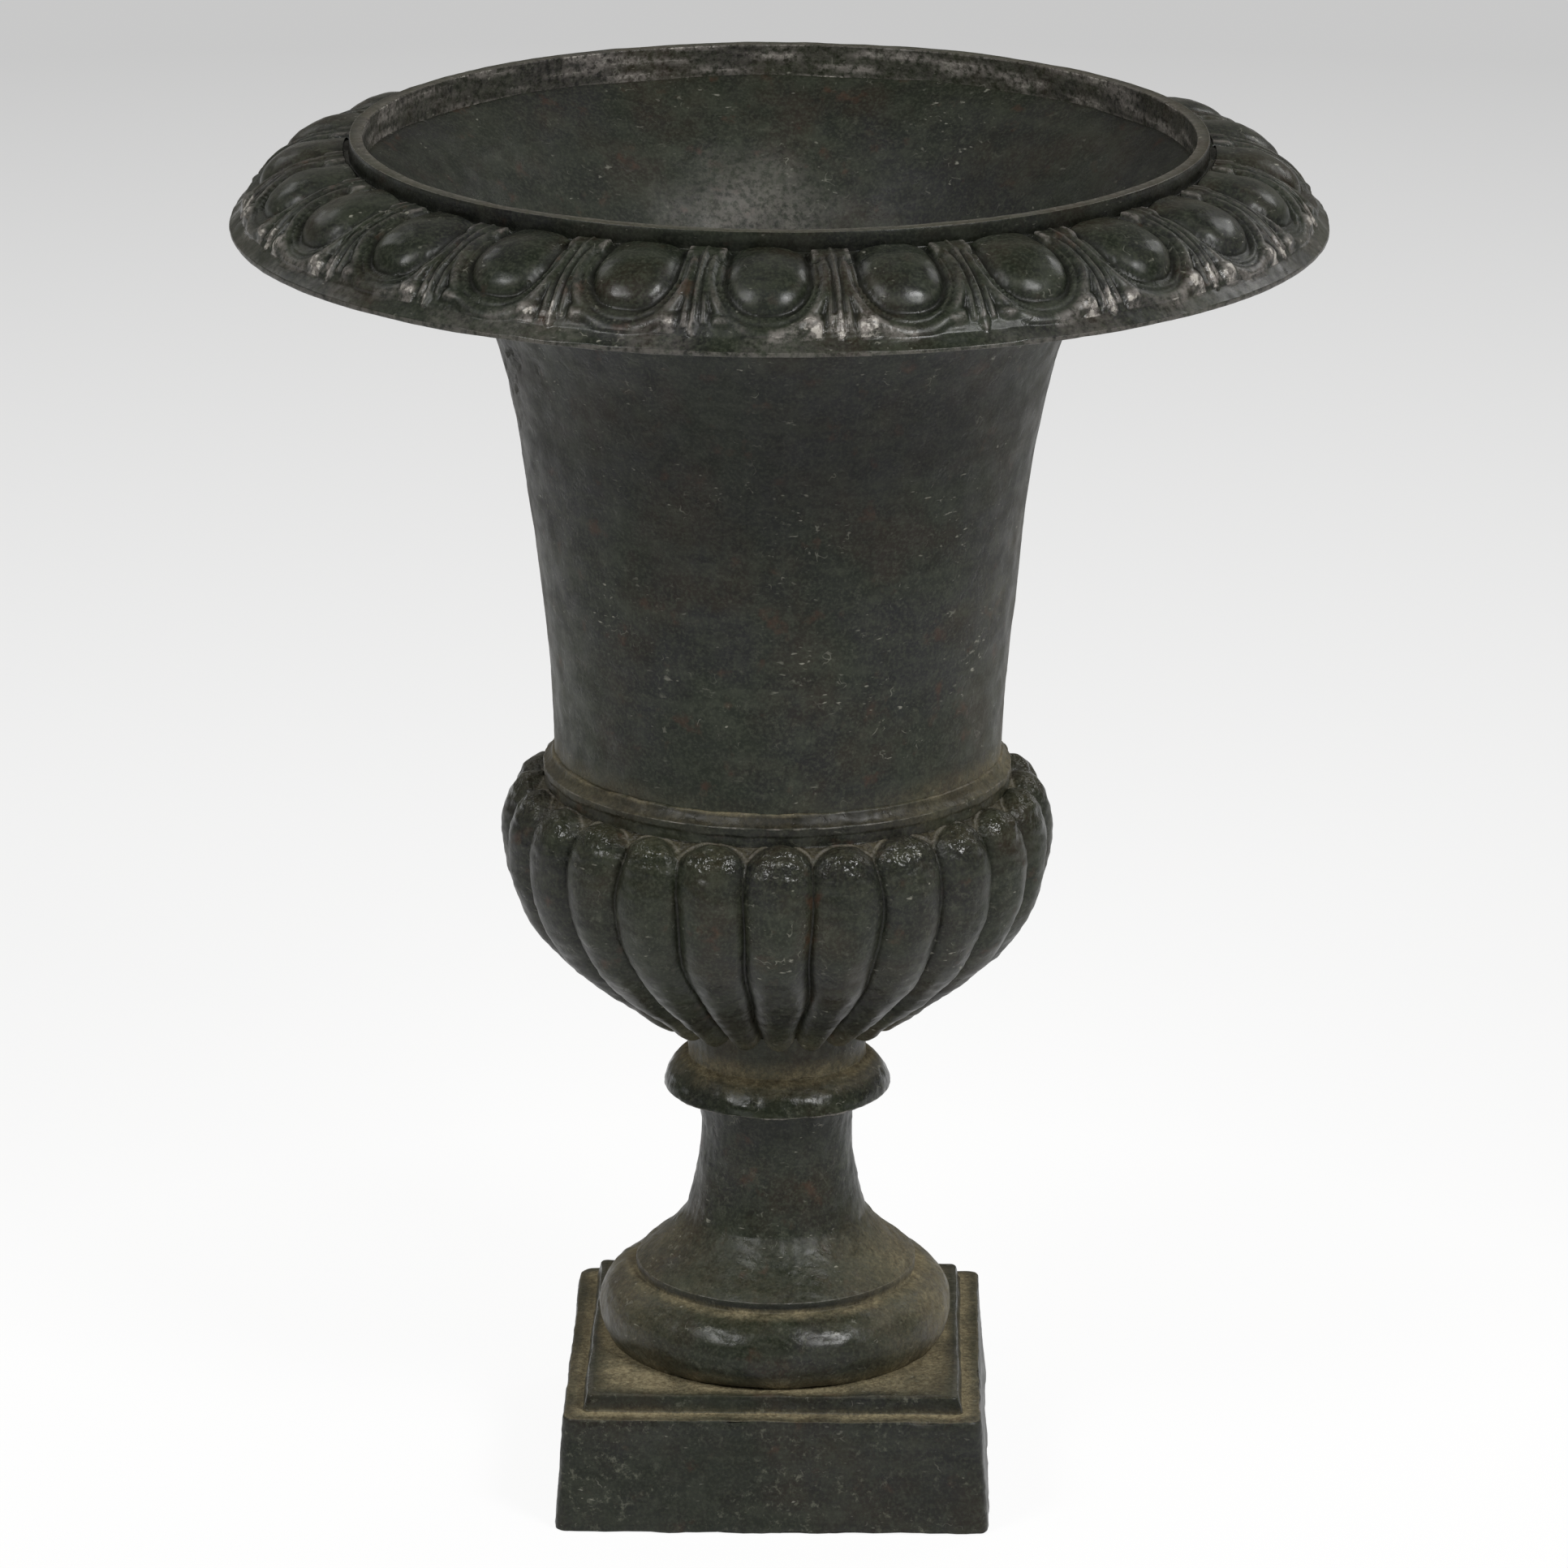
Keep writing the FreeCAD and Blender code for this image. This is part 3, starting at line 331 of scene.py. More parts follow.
def make_rim():
    seat_radius = MOUTH_BEAD_RADIUS + 0.4
    outline = Outline(BRIM_EDGE[0] - 5, BRIM_EDGE[1] - BRIM_THICKNESS)
    outline.line(BRIM_EDGE[0], BRIM_EDGE[1] - BRIM_THICKNESS).line(*BRIM_EDGE)
    outline.line(*FIELD_END, "brim", 1.5)
    outline.arc(*FIELD_START, FIELD_BEND, "field", FIELD_STEP)
    outline.line(LIP_OUTER, LIP_FOOT, "recess", FIELD_STEP)
    outline.line(LIP_OUTER, URN_HEIGHT, "lip").line(LIP_INNER, URN_HEIGHT, "lip")
    outline.line(LIP_INNER, LIP_SEAT - 2, "band", 2.0)
    outline.line(seat_radius, LIP_SEAT - 2).line(seat_radius, MOUTH_FLANGE_TOP)
    outline.line(MOUTH_FLANGE_RADIUS + 1, MOUTH_FLANGE_TOP)
    outline.arc(FIELD_END[0] - 5, FIELD_END[1] - RIM_WALL - 0.5, -(FIELD_BEND - RIM_WALL))
    outline.close()
    section = outline.section(0.7)
    turns = motif_turns(MOTIFS, RIM_COLUMNS, RIM_SQUEEZE, EGG_PHASE)
    points, outward = ring_points(section, turns), ring_outward(section, turns)

    field_length = section.along[section.on("field")].max()
    brim_length = section.along[section.on("brim")].max()
    along = np.where(section.on("field"), field_length - section.along, -section.along)
    along = np.where(section.on("brim"), field_length + brim_length - section.along, along)
    relief, shine, facet = egg_and_dart(turns[None, :], along[:, None], section.points[:, :1])
    carved = section.on("recess", "field", "brim")[:, None]
    relief = np.where(carved, relief, 0)
    points = points + outward * relief[..., None]
    uneven_share = np.where(carved, 1.0, 0.4)
    points = uneven(points, outward * uneven_share[..., None], 0.25, 0.16, 0.07)
    band = section.on("band")[:, None]
    rough = 0.1 * section.on("lip")[:, None] + 0.5 * band + 0.4 * carved * facet

    dust = np.where(band, 0.02, -0.1 * carved)
    stands = standing_out(relief, 3)
    # Raised edges are painted lighter, more near the lip and towards the lower ends: paint wear and painted edge
    # highlight.
    crest = np.maximum(smooth_step(-along, -11, -4), smooth_step(along, 46, 56))[:, None]
    wear_and_painted_light = (0.32 + 0.35 * crest) * smooth_step(stands, 0.35 - 0.15 * crest, 1.1 - 0.3 * crest)
    foot = smooth_step(along, 54, 59)[:, None]
    # Below its neighbours the relief gets painted shade with some grime, less towards the brim. The blunt-end facets
    # are painted pale, as paint chipping with painted highlight.
    wear_and_painted_light = wear_and_painted_light - 0.75 * smooth_step(-stands, 0.1, 1.0) * (1 - 0.7 * foot) + 0.9 * facet
    rubbed = smooth_step(hand_lumps.at(points * 0.6), -0.9, 0.9)
    # Rubbed patches paint the brim paler: wear and painted sheen.
    wear_and_painted_light = wear_and_painted_light + 0.2 * rubbed * smooth_step(along, 57, 62)[:, None]
    # The inner band gets streaky painted highlights. The lip's edges are lighter, as wear and painted highlight, and
    # its outward wall gets painted shade.
    painted_highlight_streaks = smooth_step(hand_lumps.at(points * (0.5, 0.5, 4.0)), -0.2, 1.2)
    shaded = section.on("lip")[:, None] * smooth_step(section.outward[:, :1], 0.6, 0.9)
    wear_and_painted_light = np.where(carved, wear_and_painted_light, 0.4 * section.edge[:, None] + (0.2 + 0.62 * painted_highlight_streaks) * band - 0.7 * shaded)
    gloss = np.where(carved, 0.75 * shine + 0.5 * section.on("brim")[:, None] + 0.5 * facet, 0.3 + 0.4 * band)
    masks = {"dust": dust, "shine": gloss, "rough": rough, "wear_and_painted_light": wear_and_painted_light, "scuffs": 0.12}
    return skin("rim_casting", points, masks)


# Bell: plain flared wall
BELL_COLUMNS = 300
BELL_SWEEP = (136.4, 586.0)
BELL_SWEEP_BEND = 842.0
BELL_FLARE = (186.8, 669.0)
BELL_FLARE_BEND = 158.4
BELL_WALL = 7.0
MOUTH_INNER_BEND = 150.0
SWELL, SWELL_HEIGHT, SWELL_REACH = 3.0, 481.0, 62.0


def make_bell():
    outline = Outline(FLANGE_BORE, BELL_SEAT)
    outline.line(BELL_FOOT_RADIUS, BELL_SEAT).line(BELL_FOOT_RADIUS, SHOULDER_TOP)
    outline.arc(*BELL_SWEEP, -BELL_SWEEP_BEND, "wall", 3.5)
    outline.arc(*BELL_FLARE, -BELL_FLARE_BEND, "wall", 3.5)
    outline.line(MOUTH_FLANGE_RADIUS, BELL_FLARE[1]).line(MOUTH_FLANGE_RADIUS, MOUTH_FLANGE_TOP)
    outline.line(MOUTH_BEAD_RADIUS, MOUTH_FLANGE_TOP).line(MOUTH_BEAD_RADIUS, MOUTH_BEAD_TOP)
    outline.line(MOUTH_RADIUS, MOUTH_BEAD_TOP, "inside")
    outline.arc(MOUTH_RADIUS - 16.7, 672.0, MOUTH_INNER_BEND, "inside", 3.5)
    outline.arc(BELL_SWEEP[0] - BELL_WALL, BELL_SWEEP[1] + 2, BELL_FLARE_BEND + BELL_WALL, "inside", 3.5)
    outline.arc(BELL_FOOT_RADIUS - BELL_WALL, SHOULDER_TOP, BELL_SWEEP_BEND + BELL_WALL, "inside", 4.0)
    outline.line(BELL_FOOT_RADIUS - BELL_WALL, BELL_SEAT + 7, "inside").line(FLANGE_BORE, BELL_SEAT + 7)
    outline.close()
    section = outline.section()
    turns = even_turns(BELL_COLUMNS)
    points, outward = ring_points(section, turns), ring_outward(section, turns)
    points = uneven(points, outward, 0.35, 0.12, 0.05)
    height = points[..., 2]
    swell = SWELL * np.exp(-((height - SWELL_HEIGHT) / SWELL_REACH) ** 2) * section.on("wall")[:, None]
    points = points + outward * swell[..., None]
    inside = section.on("inside")[:, None]
    scar = smooth_step(-points[..., 0], 105, 128) * smooth_step(height, 520, 580)
    scar = scar * (~inside) * smooth_step(hand_lumps.at(points * 1.3), 0.1, 1.2)
    points = points - outward * (0.9 * scar * np.abs(grain_lumps.at(points)))[..., None]
    # A pale patch inside near the front, painted as a soft glow: painted reflection with scuffs.
    patch = np.exp(-((points[..., 0] + 20) / 52) ** 2) * (points[..., 1] > 0) * smooth_step(-height, -672, -625)
    patch = patch * (0.7 + 0.3 * smooth_step(hand_lumps.at(points * 0.5), -0.8, 1.0))
    low = smooth_step(-height, -520, -385)
    side = flanks(turns, 2)
    foot = smooth_step(-height, -396, -384) * (0.02 + 0.4 * side)
    dust = np.where(inside, 0.04 * patch + 0.2 * low - 0.05, foot + 0.09 * flanks(turns, 6))
    scuffed_painted_glow = patch * smooth_step(hand_lumps.at(points * 0.8), 0.1, 1.1)
    # Inside, the paint is lightened by that painted reflection and darkened all over as painted shade, more towards the
    # sides.
    wear_and_painted_light = np.where(inside, 0.58 * patch + 0.22 * scuffed_painted_glow - 0.12 - 0.3 * side, 0.0)
    masks = {"dust": dust, "shine": np.where(inside, -0.9, -0.3) + 0 * dust, "rough": 0.6 * scar, "wear_and_painted_light": wear_and_painted_light,
             "scuffs": np.where(inside, 0.3, 0.35) + 0 * dust}
    return skin("bell_casting", points, masks)


# Bowl: gadroons between a moulded shoulder and a neck
GADROONS = 24
GADROON_PHASE = math.radians(0.5)
BOWL_COLUMNS, BOWL_SQUEEZE = 26, 0.055
EQUATOR = (139.4, 341.5)
SHOULDER_BEND, BELLY_BEND, KEEL_BEND = 43.0, 92.4, 147.0
SHOULDER_TURN, BELLY_TURN, KEEL_TURN = math.radians(52), math.radians(45), math.radians(73)
GROOVE_DEPTH = 10.0
TOP_ROUND, TIP_ROUND = 18.0, 17.0
KEEL_SLIM, TIP_SWELL = 3.0, 1.8
LOBE_WANDER, LOBE_DROP, LOBE_SWELL = 0.028, 2.6, 0.7
BEAD_RADIUS, BEAD_FOOT, BEAD_TOP = 118.0, 374.0, 377.5
BOWL_WALL = 8.0
BOWL_FLOOR = 256.8
NECK_BORE_TOP = 247.8
ROD_HOLE = 9.0
NECK_SINK = 1.4
DRAINS, DRAIN_RADIUS, DRAIN_PLACE, DRAIN_MARGIN = 4, 4.0, 19.5, 0.8


def gadroons(turn, from_tip, from_top, radius):
    """Depth of the relief below the crest line, as a height that is never positive, and where it shines."""
    pitch = FULL_TURN * radius / GADROONS
    unit = (turn - GADROON_PHASE) * GADROONS / FULL_TURN
    number = np.round(unit).astype(int)
    across = np.abs(unit - number) * 2
    variety = lobe_table[number % GADROONS]
    depth = np.minimum(GROOVE_DEPTH, 0.5 * pitch)
    from_top = from_top - LOBE_DROP * (variety[..., 0] - 0.4)
    top = np.clip((TOP_ROUND - from_top) / TOP_ROUND, 0, None)
    tip = np.clip((TIP_ROUND - from_tip) / TIP_ROUND, 0, None)
    spread = (across * 0.985) ** 2.0 + top ** 2.0 + tip ** 2
    lobe = np.clip(1 - spread, 0, None) ** 0.6
    web = 0.16 * ridge(np.sqrt(spread) - 1.06, 0.12) * smooth_step(-from_top, -26, -4)
    height = depth * (np.maximum(lobe, web) - 1) + LOBE_SWELL * lobe * (variety[..., 1] - 0.5)
    height = height - KEEL_SLIM * smooth_step(from_tip, 8, 48) * (1 - smooth_step(from_tip, 60, 125))
    height = height + TIP_SWELL * lobe * (1 - smooth_step(from_tip, 10, 34))
    shine = 1.2 * smooth_step(lobe, 0.4, 0.85) * smooth_step(-from_top, -36, -12)
    return height, shine, lobe, smooth_step(web, 0.05, 0.15) * (web > lobe)


lobe_table = rng.uniform(0, 1, (GADROONS, 2))


def drain_holes(points, section):
    """Moves grid points onto the rims of the drain holes, and gives the rows and columns of each hole's two ends."""
    reach = DRAIN_RADIUS + DRAIN_MARGIN
    near = np.abs(section.points[:, 0] - DRAIN_PLACE) <= reach
    floor, under = np.flatnonzero(near & section.on("floor")), np.flatnonzero(near & section.on("under"))
    count = min(len(floor), len(under))
    floor, under = floor[:count], under[:count]
    middle = points[floor[count // 2]]
    turns = np.arctan2(middle[:, 0], -middle[:, 1])
    holes = []
    for turn in even_turns(DRAINS):
        off = (turns - turn + math.pi) % FULL_TURN - math.pi
        across = np.flatnonzero(np.abs(off) <= reach / DRAIN_PLACE)
        across = across[np.argsort(off[across])]
        for rows, outer, inner in ((floor, 1, -1), (under, -1, 1)):
            v, u = (border(side) for side in np.meshgrid(np.linspace(outer, inner, count),
                                                         np.linspace(-1, 1, len(across)), indexing="ij"))
            row, column = (border(side) for side in np.meshgrid(rows, across, indexing="ij"))
            aside, ahead = DRAIN_RADIUS * u / np.hypot(u, v), DRAIN_PLACE + DRAIN_RADIUS * v / np.hypot(u, v)
            points[row, column, 0] = ahead * math.sin(turn) + aside * math.cos(turn)
            points[row, column, 1] = aside * math.sin(turn) - ahead * math.cos(turn)
        holes.append((floor, under, across))
    return holes


def make_bowl():
    belly_centre = EQUATOR[0] - BELLY_BEND
    belly_end = (belly_centre + BELLY_BEND * math.cos(BELLY_TURN), EQUATOR[1] - BELLY_BEND * math.sin(BELLY_TURN))
    keel_rise = KEEL_BEND - BELLY_BEND
    keel_centre = (belly_centre - keel_rise * math.cos(BELLY_TURN), EQUATOR[1] + keel_rise * math.sin(BELLY_TURN))
    tip = (keel_centre[0] + KEEL_BEND * math.cos(KEEL_TURN), keel_centre[1] - KEEL_BEND * math.sin(KEEL_TURN))
    shoulder_centre = EQUATOR[0] - SHOULDER_BEND
    top = (shoulder_centre + SHOULDER_BEND * math.cos(SHOULDER_TURN), EQUATOR[1] + SHOULDER_BEND * math.sin(SHOULDER_TURN))

    outline = Outline(30.2, NECK_SEAT)
    outline.line(NECK_RADIUS - 2, NECK_SEAT).line(NECK_RADIUS, NECK_SEAT - NECK_SINK, "neck").line(NECK_RADIUS, tip[1] + 4, "neck", 2.0)
    outline.line(tip[0] - 3, tip[1] - 1, "skip").line(*tip, "skip")
    outline.arc(*belly_end, KEEL_BEND, "keel", 1.6)
    outline.arc(*EQUATOR, BELLY_BEND, "belly", 2.0)
    outline.arc(*top, SHOULDER_BEND, "crown", 1.0)
    past_top = SHOULDER_TURN + math.radians(4)
    beyond = (shoulder_centre + SHOULDER_BEND * math.cos(past_top), EQUATOR[1] + SHOULDER_BEND * math.sin(past_top))
    outline.arc(*beyond, SHOULDER_BEND, "skip").line(BEAD_RADIUS - 0.6, top[1] - 7.5, "skip")
    outline.line(BEAD_RADIUS - 0.6, BEAD_FOOT - 1, "groove", 1.5)
    outline.line(BEAD_RADIUS, BEAD_FOOT, "bead", 1.5).line(BEAD_RADIUS, BEAD_TOP, "bead", 1.5)
    outline.arc(BELL_FOOT_RADIUS + 1.4, SHOULDER_TOP, -9.0, "cove", 1.0)
    outline.line(BELL_FOOT_RADIUS - 0.5, SHOULDER_TOP + 0.4, "cove")
    outline.line(BELL_FOOT_RADIUS - 0.5, BELL_SEAT).line(FLANGE_BORE, BELL_SEAT, "inside")
    outline.line(FLANGE_BORE, BELL_SEAT - 7, "inside").line(112, BELL_SEAT - 7, "inside")
    outline.line(118, 360, "inside").arc(118, 310, 45, "inside").arc(82, 270, 75, "inside")
    outline.arc(58, BOWL_FLOOR, 90, "inside").line(26, BOWL_FLOOR, "inside").line(13, BOWL_FLOOR, "floor", 1.0)
    outline.line(ROD_HOLE, BOWL_FLOOR, "inside").line(ROD_HOLE, NECK_BORE_TOP).line(13, NECK_BORE_TOP)
    outline.line(26, NECK_BORE_TOP, "under", 1.0).line(30.2, NECK_BORE_TOP)
    outline.close()
    section = outline.section(0.5)
    turns = motif_turns(GADROONS, BOWL_COLUMNS, BOWL_SQUEEZE, GADROON_PHASE)
    wander = LOBE_WANDER * FULL_TURN / GADROONS * hand_lumps.at(ring_points(section, turns) * 0.4)
    points, outward = ring_points(section, turns + wander), ring_outward(section, turns + wander)

    reach = {name: section.along[section.on(name)].max() for name in ("keel", "belly", "crown")}
    start = {"keel": 0.0, "belly": reach["keel"], "crown": reach["keel"] + reach["belly"]}
    whole = sum(reach.values())
    from_tip = sum(np.where(section.on(name), start[name] + section.along, 0) for name in start)[:, None]
    carved = section.on(*start)[:, None]
    relief, shine, lobe, web = gadroons(turns[None, :], from_tip, whole - from_tip, section.points[:, :1])
    points = points + outward * np.where(carved, relief, 0)[..., None]
    points = uneven(points, outward, 0.2, 0.22, 0.12)
    crown = carved * smooth_step(from_tip, whole - 34, whole - 6)
    points = points + outward * (0.35 * crown * grain_lumps.at(points * 0.8))[..., None]

    patchy = smooth_step(hand_lumps.at(points * 0.9), -0.9, 0.9)
    cove, bead = section.on("cove")[:, None], section.on("bead")[:, None]
    seam = cove * smooth_step(section.points[:, 1:], SHOULDER_TOP - 1.8, SHOULDER_TOP - 0.5)
    low = carved * smooth_step(-from_tip, -50, 0)
    side = flanks(turns, 2)
    dust = 0.05 * cove * patchy + 0.25 * seam * patchy
    dust = dust + 0.3 * side * (cove + bead + 0.5 * section.on("groove")[:, None])
    dust = dust + 0.2 * low + 0.12 * carved * smooth_step(-lobe, -0.3, 0) * crown
    neck = section.on("neck") * (0.06 + 0.5 * smooth_step(-section.points[:, 1], -232, -NECK_SEAT))
    dust = dust + neck[:, None] + 0.4 * section.on("inside", "floor")[:, None]
    # The webs over the lobes are painted lighter, as wear and painted highlight. The grooves between the lobes get
    # painted shade.
    wear_and_painted_light = carved * (0.4 * web - 0.7 * smooth_step(-lobe, -0.35, 0) * (1 - web))
    # Bead and cove edges are painted lighter, as paint chipping and painted highlight. The faces of bead and cove get
    # painted shade, less at the sides.
    chipped_and_highlit = smooth_step(grain_lumps.at(points * 0.6), -0.6, 0.8)
    sharp = section.edge[:, None]
    wear_and_painted_light = wear_and_painted_light + 0.7 * chipped_and_highlit * sharp * (bead + 0.5 * cove) - (1 - sharp) * (0.3 * bead + 0.85 * cove * (1 - side))
    masks = {"dust": np.clip(dust + 0.02, 0, 1), "shine": np.where(carved, shine, 0), "rough": crown, "wear_and_painted_light": wear_and_painted_light,
             "scuffs": 0.45}
    return skin("bowl_casting", points, masks, drain_holes(points, section))


# Pedestal: round base moulding, dome, stem and collar
PEDESTAL_COLUMNS = 240
TORUS_FOOT, TORUS_EQUATOR, TORUS_TOP = (84.95, STEP_TOP), (90.55, 84.0), (72.95, 104.5)
TORUS_LOWER_BEND, TORUS_UPPER_BEND = 24.2, 20.75
DOME_FOOT, DOME_EDGE, DOME_MIDDLE, STEM_FOOT = (71.75, 104.5), (71.75, 109.5), (63.75, 116.3), (46.25, 135.0)
STEM_WAIST, STEM_TOP = (38.75, 177.0), (42.25, 204.0)
COLLAR_EDGE, COLLAR_TOP = (57.8, 204.0), (NECK_RADIUS, 220.5)
SPIGOT_RADIUS, SPIGOT_BORE, SPIGOT_TOP = 29.6, 22.0, 229.5


def make_pedestal():
    outline = Outline(70.75, STEP_TOP)
    outline.line(*TORUS_FOOT)
    outline.arc(*TORUS_EQUATOR, TORUS_LOWER_BEND, "torus", 2.0)
    outline.arc(*TORUS_TOP, TORUS_UPPER_BEND, "torus", 2.0)
    outline.line(*DOME_FOOT, "quirk", 1.0).line(*DOME_EDGE, "fillet", 1.5)
    outline.arc(*DOME_MIDDLE, 60.0, "dome", 2.0).arc(*STEM_FOOT, -80.0, "dome", 2.0)
    outline.arc(*STEM_WAIST, -150.0, "stem", 3.0).arc(*STEM_TOP, -80.0, "stem", 3.0)
    outline.line(*COLLAR_EDGE, "under", 2.0)
    outline.arc(*COLLAR_TOP, 20.0, "collar", 1.5)
    outline.line(NECK_RADIUS, NECK_SEAT, "collar").line(SPIGOT_RADIUS, NECK_SEAT)
    outline.line(SPIGOT_RADIUS, SPIGOT_TOP).line(SPIGOT_BORE, SPIGOT_TOP)
    outline.line(SPIGOT_BORE, 212).line(28, 204).line(27.75, 177).line(36, 135).line(56, 112).line(62.95, 104.5)
    outline.line(70.75, 96).close()
    section = outline.section(0.5)
    turns = even_turns(PEDESTAL_COLUMNS)
    points, outward = ring_points(section, turns), ring_outward(section, turns)
    points = uneven(points, outward, 0.22, 0.2, 0.12)
    radius, height = section.points[:, :1], section.points[:, 1:]
    patchy = 0.45 + 0.9 * smooth_step(hand_lumps.at(points), -1.0, 1.0)
    groove = np.where(section.on("quirk")[:, None], 1.0, 0)
    groove = groove + section.on("torus")[:, None] * smooth_step(-radius, -80, -73) * (height > 90)
    heap = section.on("fillet")[:, None] * smooth_step(-height, -106.5, -105.0)
    collar = section.on("collar")[:, None]
    lip = collar * (0.35 * smooth_step(-radius, -55.5, -51) + 1.3 * smooth_step(-radius, -51, -46))
    flank = 0.44 * flanks(turns, 3) * smooth_step(-height, -150, -112)
    shelf = section.on("torus")[:, None] * smooth_step(-height, -78, -69)
    dust = patchy * (0.5 * groove + 0.45 * heap + 0.75 * lip + 0.4 * shelf) + flank + 0.01
    shine = 0.55 * section.on("torus")[:, None] * smooth_step(height, 84, 96) * (1 - groove)
    shine = shine + collar * smooth_step(radius, 50, 56)
    # Edges are painted lighter, as wear and painted highlight. The fillet under the dome gets painted shade.
    wear_and_painted_light = (0.6 * section.edge[:, None] - 0.7 * section.on("fillet")[:, None]) * np.ones_like(shine)
    masks = {"dust": np.clip(dust, 0, 1), "shine": np.clip(shine, 0, 1), "rough": 0.15, "wear_and_painted_light": wear_and_painted_light,
             "scuffs": 0.6}
    return skin("pedestal_casting", points, masks)


# Plinth: square block with a step, hollow underneath
PLINTH_SIDE_COLUMNS, PLINTH_CORNER_COLUMNS = 44, 10
BLOCK_FOOT, BLOCK_HEAD, BLOCK_TOP, BLOCK_CORNER = 110.1, 105.35, 59.6, 6.0
STEP_FOOT, STEP_HEAD, STEP_CORNER = 95.75, 93.75, 3.0
PLINTH_WALL, DECK_UNDERSIDE = 9.0, 56.5
REGISTER_RADIUS, REGISTER_BORE, REGISTER_TOP = 70.35, 62.35, 74.5
PLINTH_YAW = math.radians(-0.9)


def square_ring(half, corner):
    """Points and outward directions of a rounded square, from the middle of the front side round to the right."""
    points, outward = [], []
    flat = half - corner
    side = np.linspace(-flat, flat, PLINTH_SIDE_COLUMNS, endpoint=False)
    bend = np.linspace(0, math.pi / 2, PLINTH_CORNER_COLUMNS, endpoint=False)
    for quarter in range(4):
        turn = quarter * math.pi / 2
        c, s = math.cos(turn), math.sin(turn)
        across = np.concatenate((side, flat + corner * np.sin(bend)))
        ahead = np.concatenate((np.full_like(side, half), flat + corner * np.cos(bend)))
        lean = np.concatenate((np.zeros_like(side), np.sin(bend))), np.concatenate((np.ones_like(side), np.cos(bend)))
        points.append(np.stack((c * across + s * ahead, s * across - c * ahead), 1))
        outward.append(np.stack((c * lean[0] + s * lean[1], s * lean[0] - c * lean[1]), 1))
    return np.concatenate(points), np.concatenate(outward)


def make_plinth():
    outline = Outline(BLOCK_FOOT - PLINTH_WALL, 0)
    outline.line(BLOCK_FOOT, 0, "foot").line(BLOCK_HEAD, BLOCK_TOP, "face", 3.0)
    outline.line(STEP_FOOT, BLOCK_TOP, "ledge", 1.5).line(STEP_HEAD, STEP_TOP, "riser", 1.5)
    outline.line(REGISTER_RADIUS + 1, STEP_TOP, "deck", 2.5).line(REGISTER_RADIUS, REGISTER_TOP, "round")
    outline.line(REGISTER_BORE, REGISTER_TOP, "round").line(REGISTER_BORE, DECK_UNDERSIDE, "round")
    outline.line(BLOCK_HEAD - PLINTH_WALL, DECK_UNDERSIDE, "under", 3.0).close("wall")
    section = outline.section(1.3)
    rows, leans = [], []
    for (half, height), (across, up), name in zip(section.points, section.outward, section.names):
        corner = STEP_CORNER if name in ("riser", "deck") else BLOCK_CORNER
        square, away = square_ring(half, corner)
        circle = half * square / np.hypot(*square.T)[:, None]
        roundness = {"round": 1.0, "deck": (STEP_HEAD - half) / (STEP_HEAD - REGISTER_RADIUS),
                     "under": 1 - (half - REGISTER_BORE) / (BLOCK_HEAD - PLINTH_WALL - REGISTER_BORE)}.get(name, 0.0)
        flat = square + (circle - square) * min(max(roundness, 0), 1)
        rows.append(np.column_stack((flat, np.full(len(flat), height))))
        leans.append(np.column_stack((away * across, np.full(len(flat), up))))
    c, s = math.cos(PLINTH_YAW), math.sin(PLINTH_YAW)
    yaw = np.array(((c, s, 0), (-s, c, 0), (0, 0, 1)))
    points, outward = np.array(rows) @ yaw, np.array(leans) @ yaw
    points = uneven(points, outward, 0.3, 0.22, 0.1)
    edge = section.edge[:, None]
    nick = np.clip(hand_lumps.at(points * 1.4) - 0.7, 0, 1.2)
    points = points - outward * (0.8 * edge * nick)[..., None]
    points[..., 2] = np.maximum(points[..., 2], 0)
    height = points[..., 2]
    level = (section.outward[:, 1:] > 0.6)
    from_axis = np.hypot(points[..., 0], points[..., 1])
    from_edge = np.where(section.on("deck"), STEP_HEAD, BLOCK_HEAD) - section.points[:, 0]
    near_torus = smooth_step(-from_axis, -TORUS_FOOT[0] - 11, -TORUS_FOOT[0] - 1)
    left = smooth_step(-points[..., 0], 0, 75)
    swept = smooth_step(hand_lumps.at(points * 0.7), -0.9, 0.9)
    # The deck is paler towards the left, and dustier near the torus.
    deck = level * section.on("deck")[:, None] * (0.38 + 0.3 * swept + 0.5 * left + 0.4 * near_torus)
    deck = deck * smooth_step(from_edge, 0.5, 8)[:, None]
    ledge = level * section.on("ledge")[:, None] * (0.25 + 0.75 * smooth_step(from_edge, 2.5, 8))[:, None]
    near = np.exp(-np.clip(height - BLOCK_TOP, 0, None) / 1.3) * section.on("riser")[:, None]
    dust = np.clip(deck + 0.95 * ledge + 0.5 * near + 0.01, 0, 1.2)
    # Edges are painted lighter, as wear and painted highlight. The block's faces and the step's riser get painted
    # shade.
    wear_and_painted_light = 0.2 * edge - 0.25 * section.on("face")[:, None] - 0.35 * section.on("riser")[:, None] + 0 * dust
    masks = {"dust": dust, "shine": 0.5 * section.on("riser")[:, None], "rough": 0.15, "wear_and_painted_light": wear_and_painted_light, "scuffs": 1.0}
    return skin("plinth_casting", points, masks)


# Materials
def colour(red, green, blue):
    """Linear colour of an sRGB colour given in 0 to 255."""
    shares = [channel / 255 for channel in (red, green, blue)]
    return [s / 12.92 if s <= 0.04045 else ((s + 0.055) / 1.055) ** 2.4 for s in shares] + [1.0]


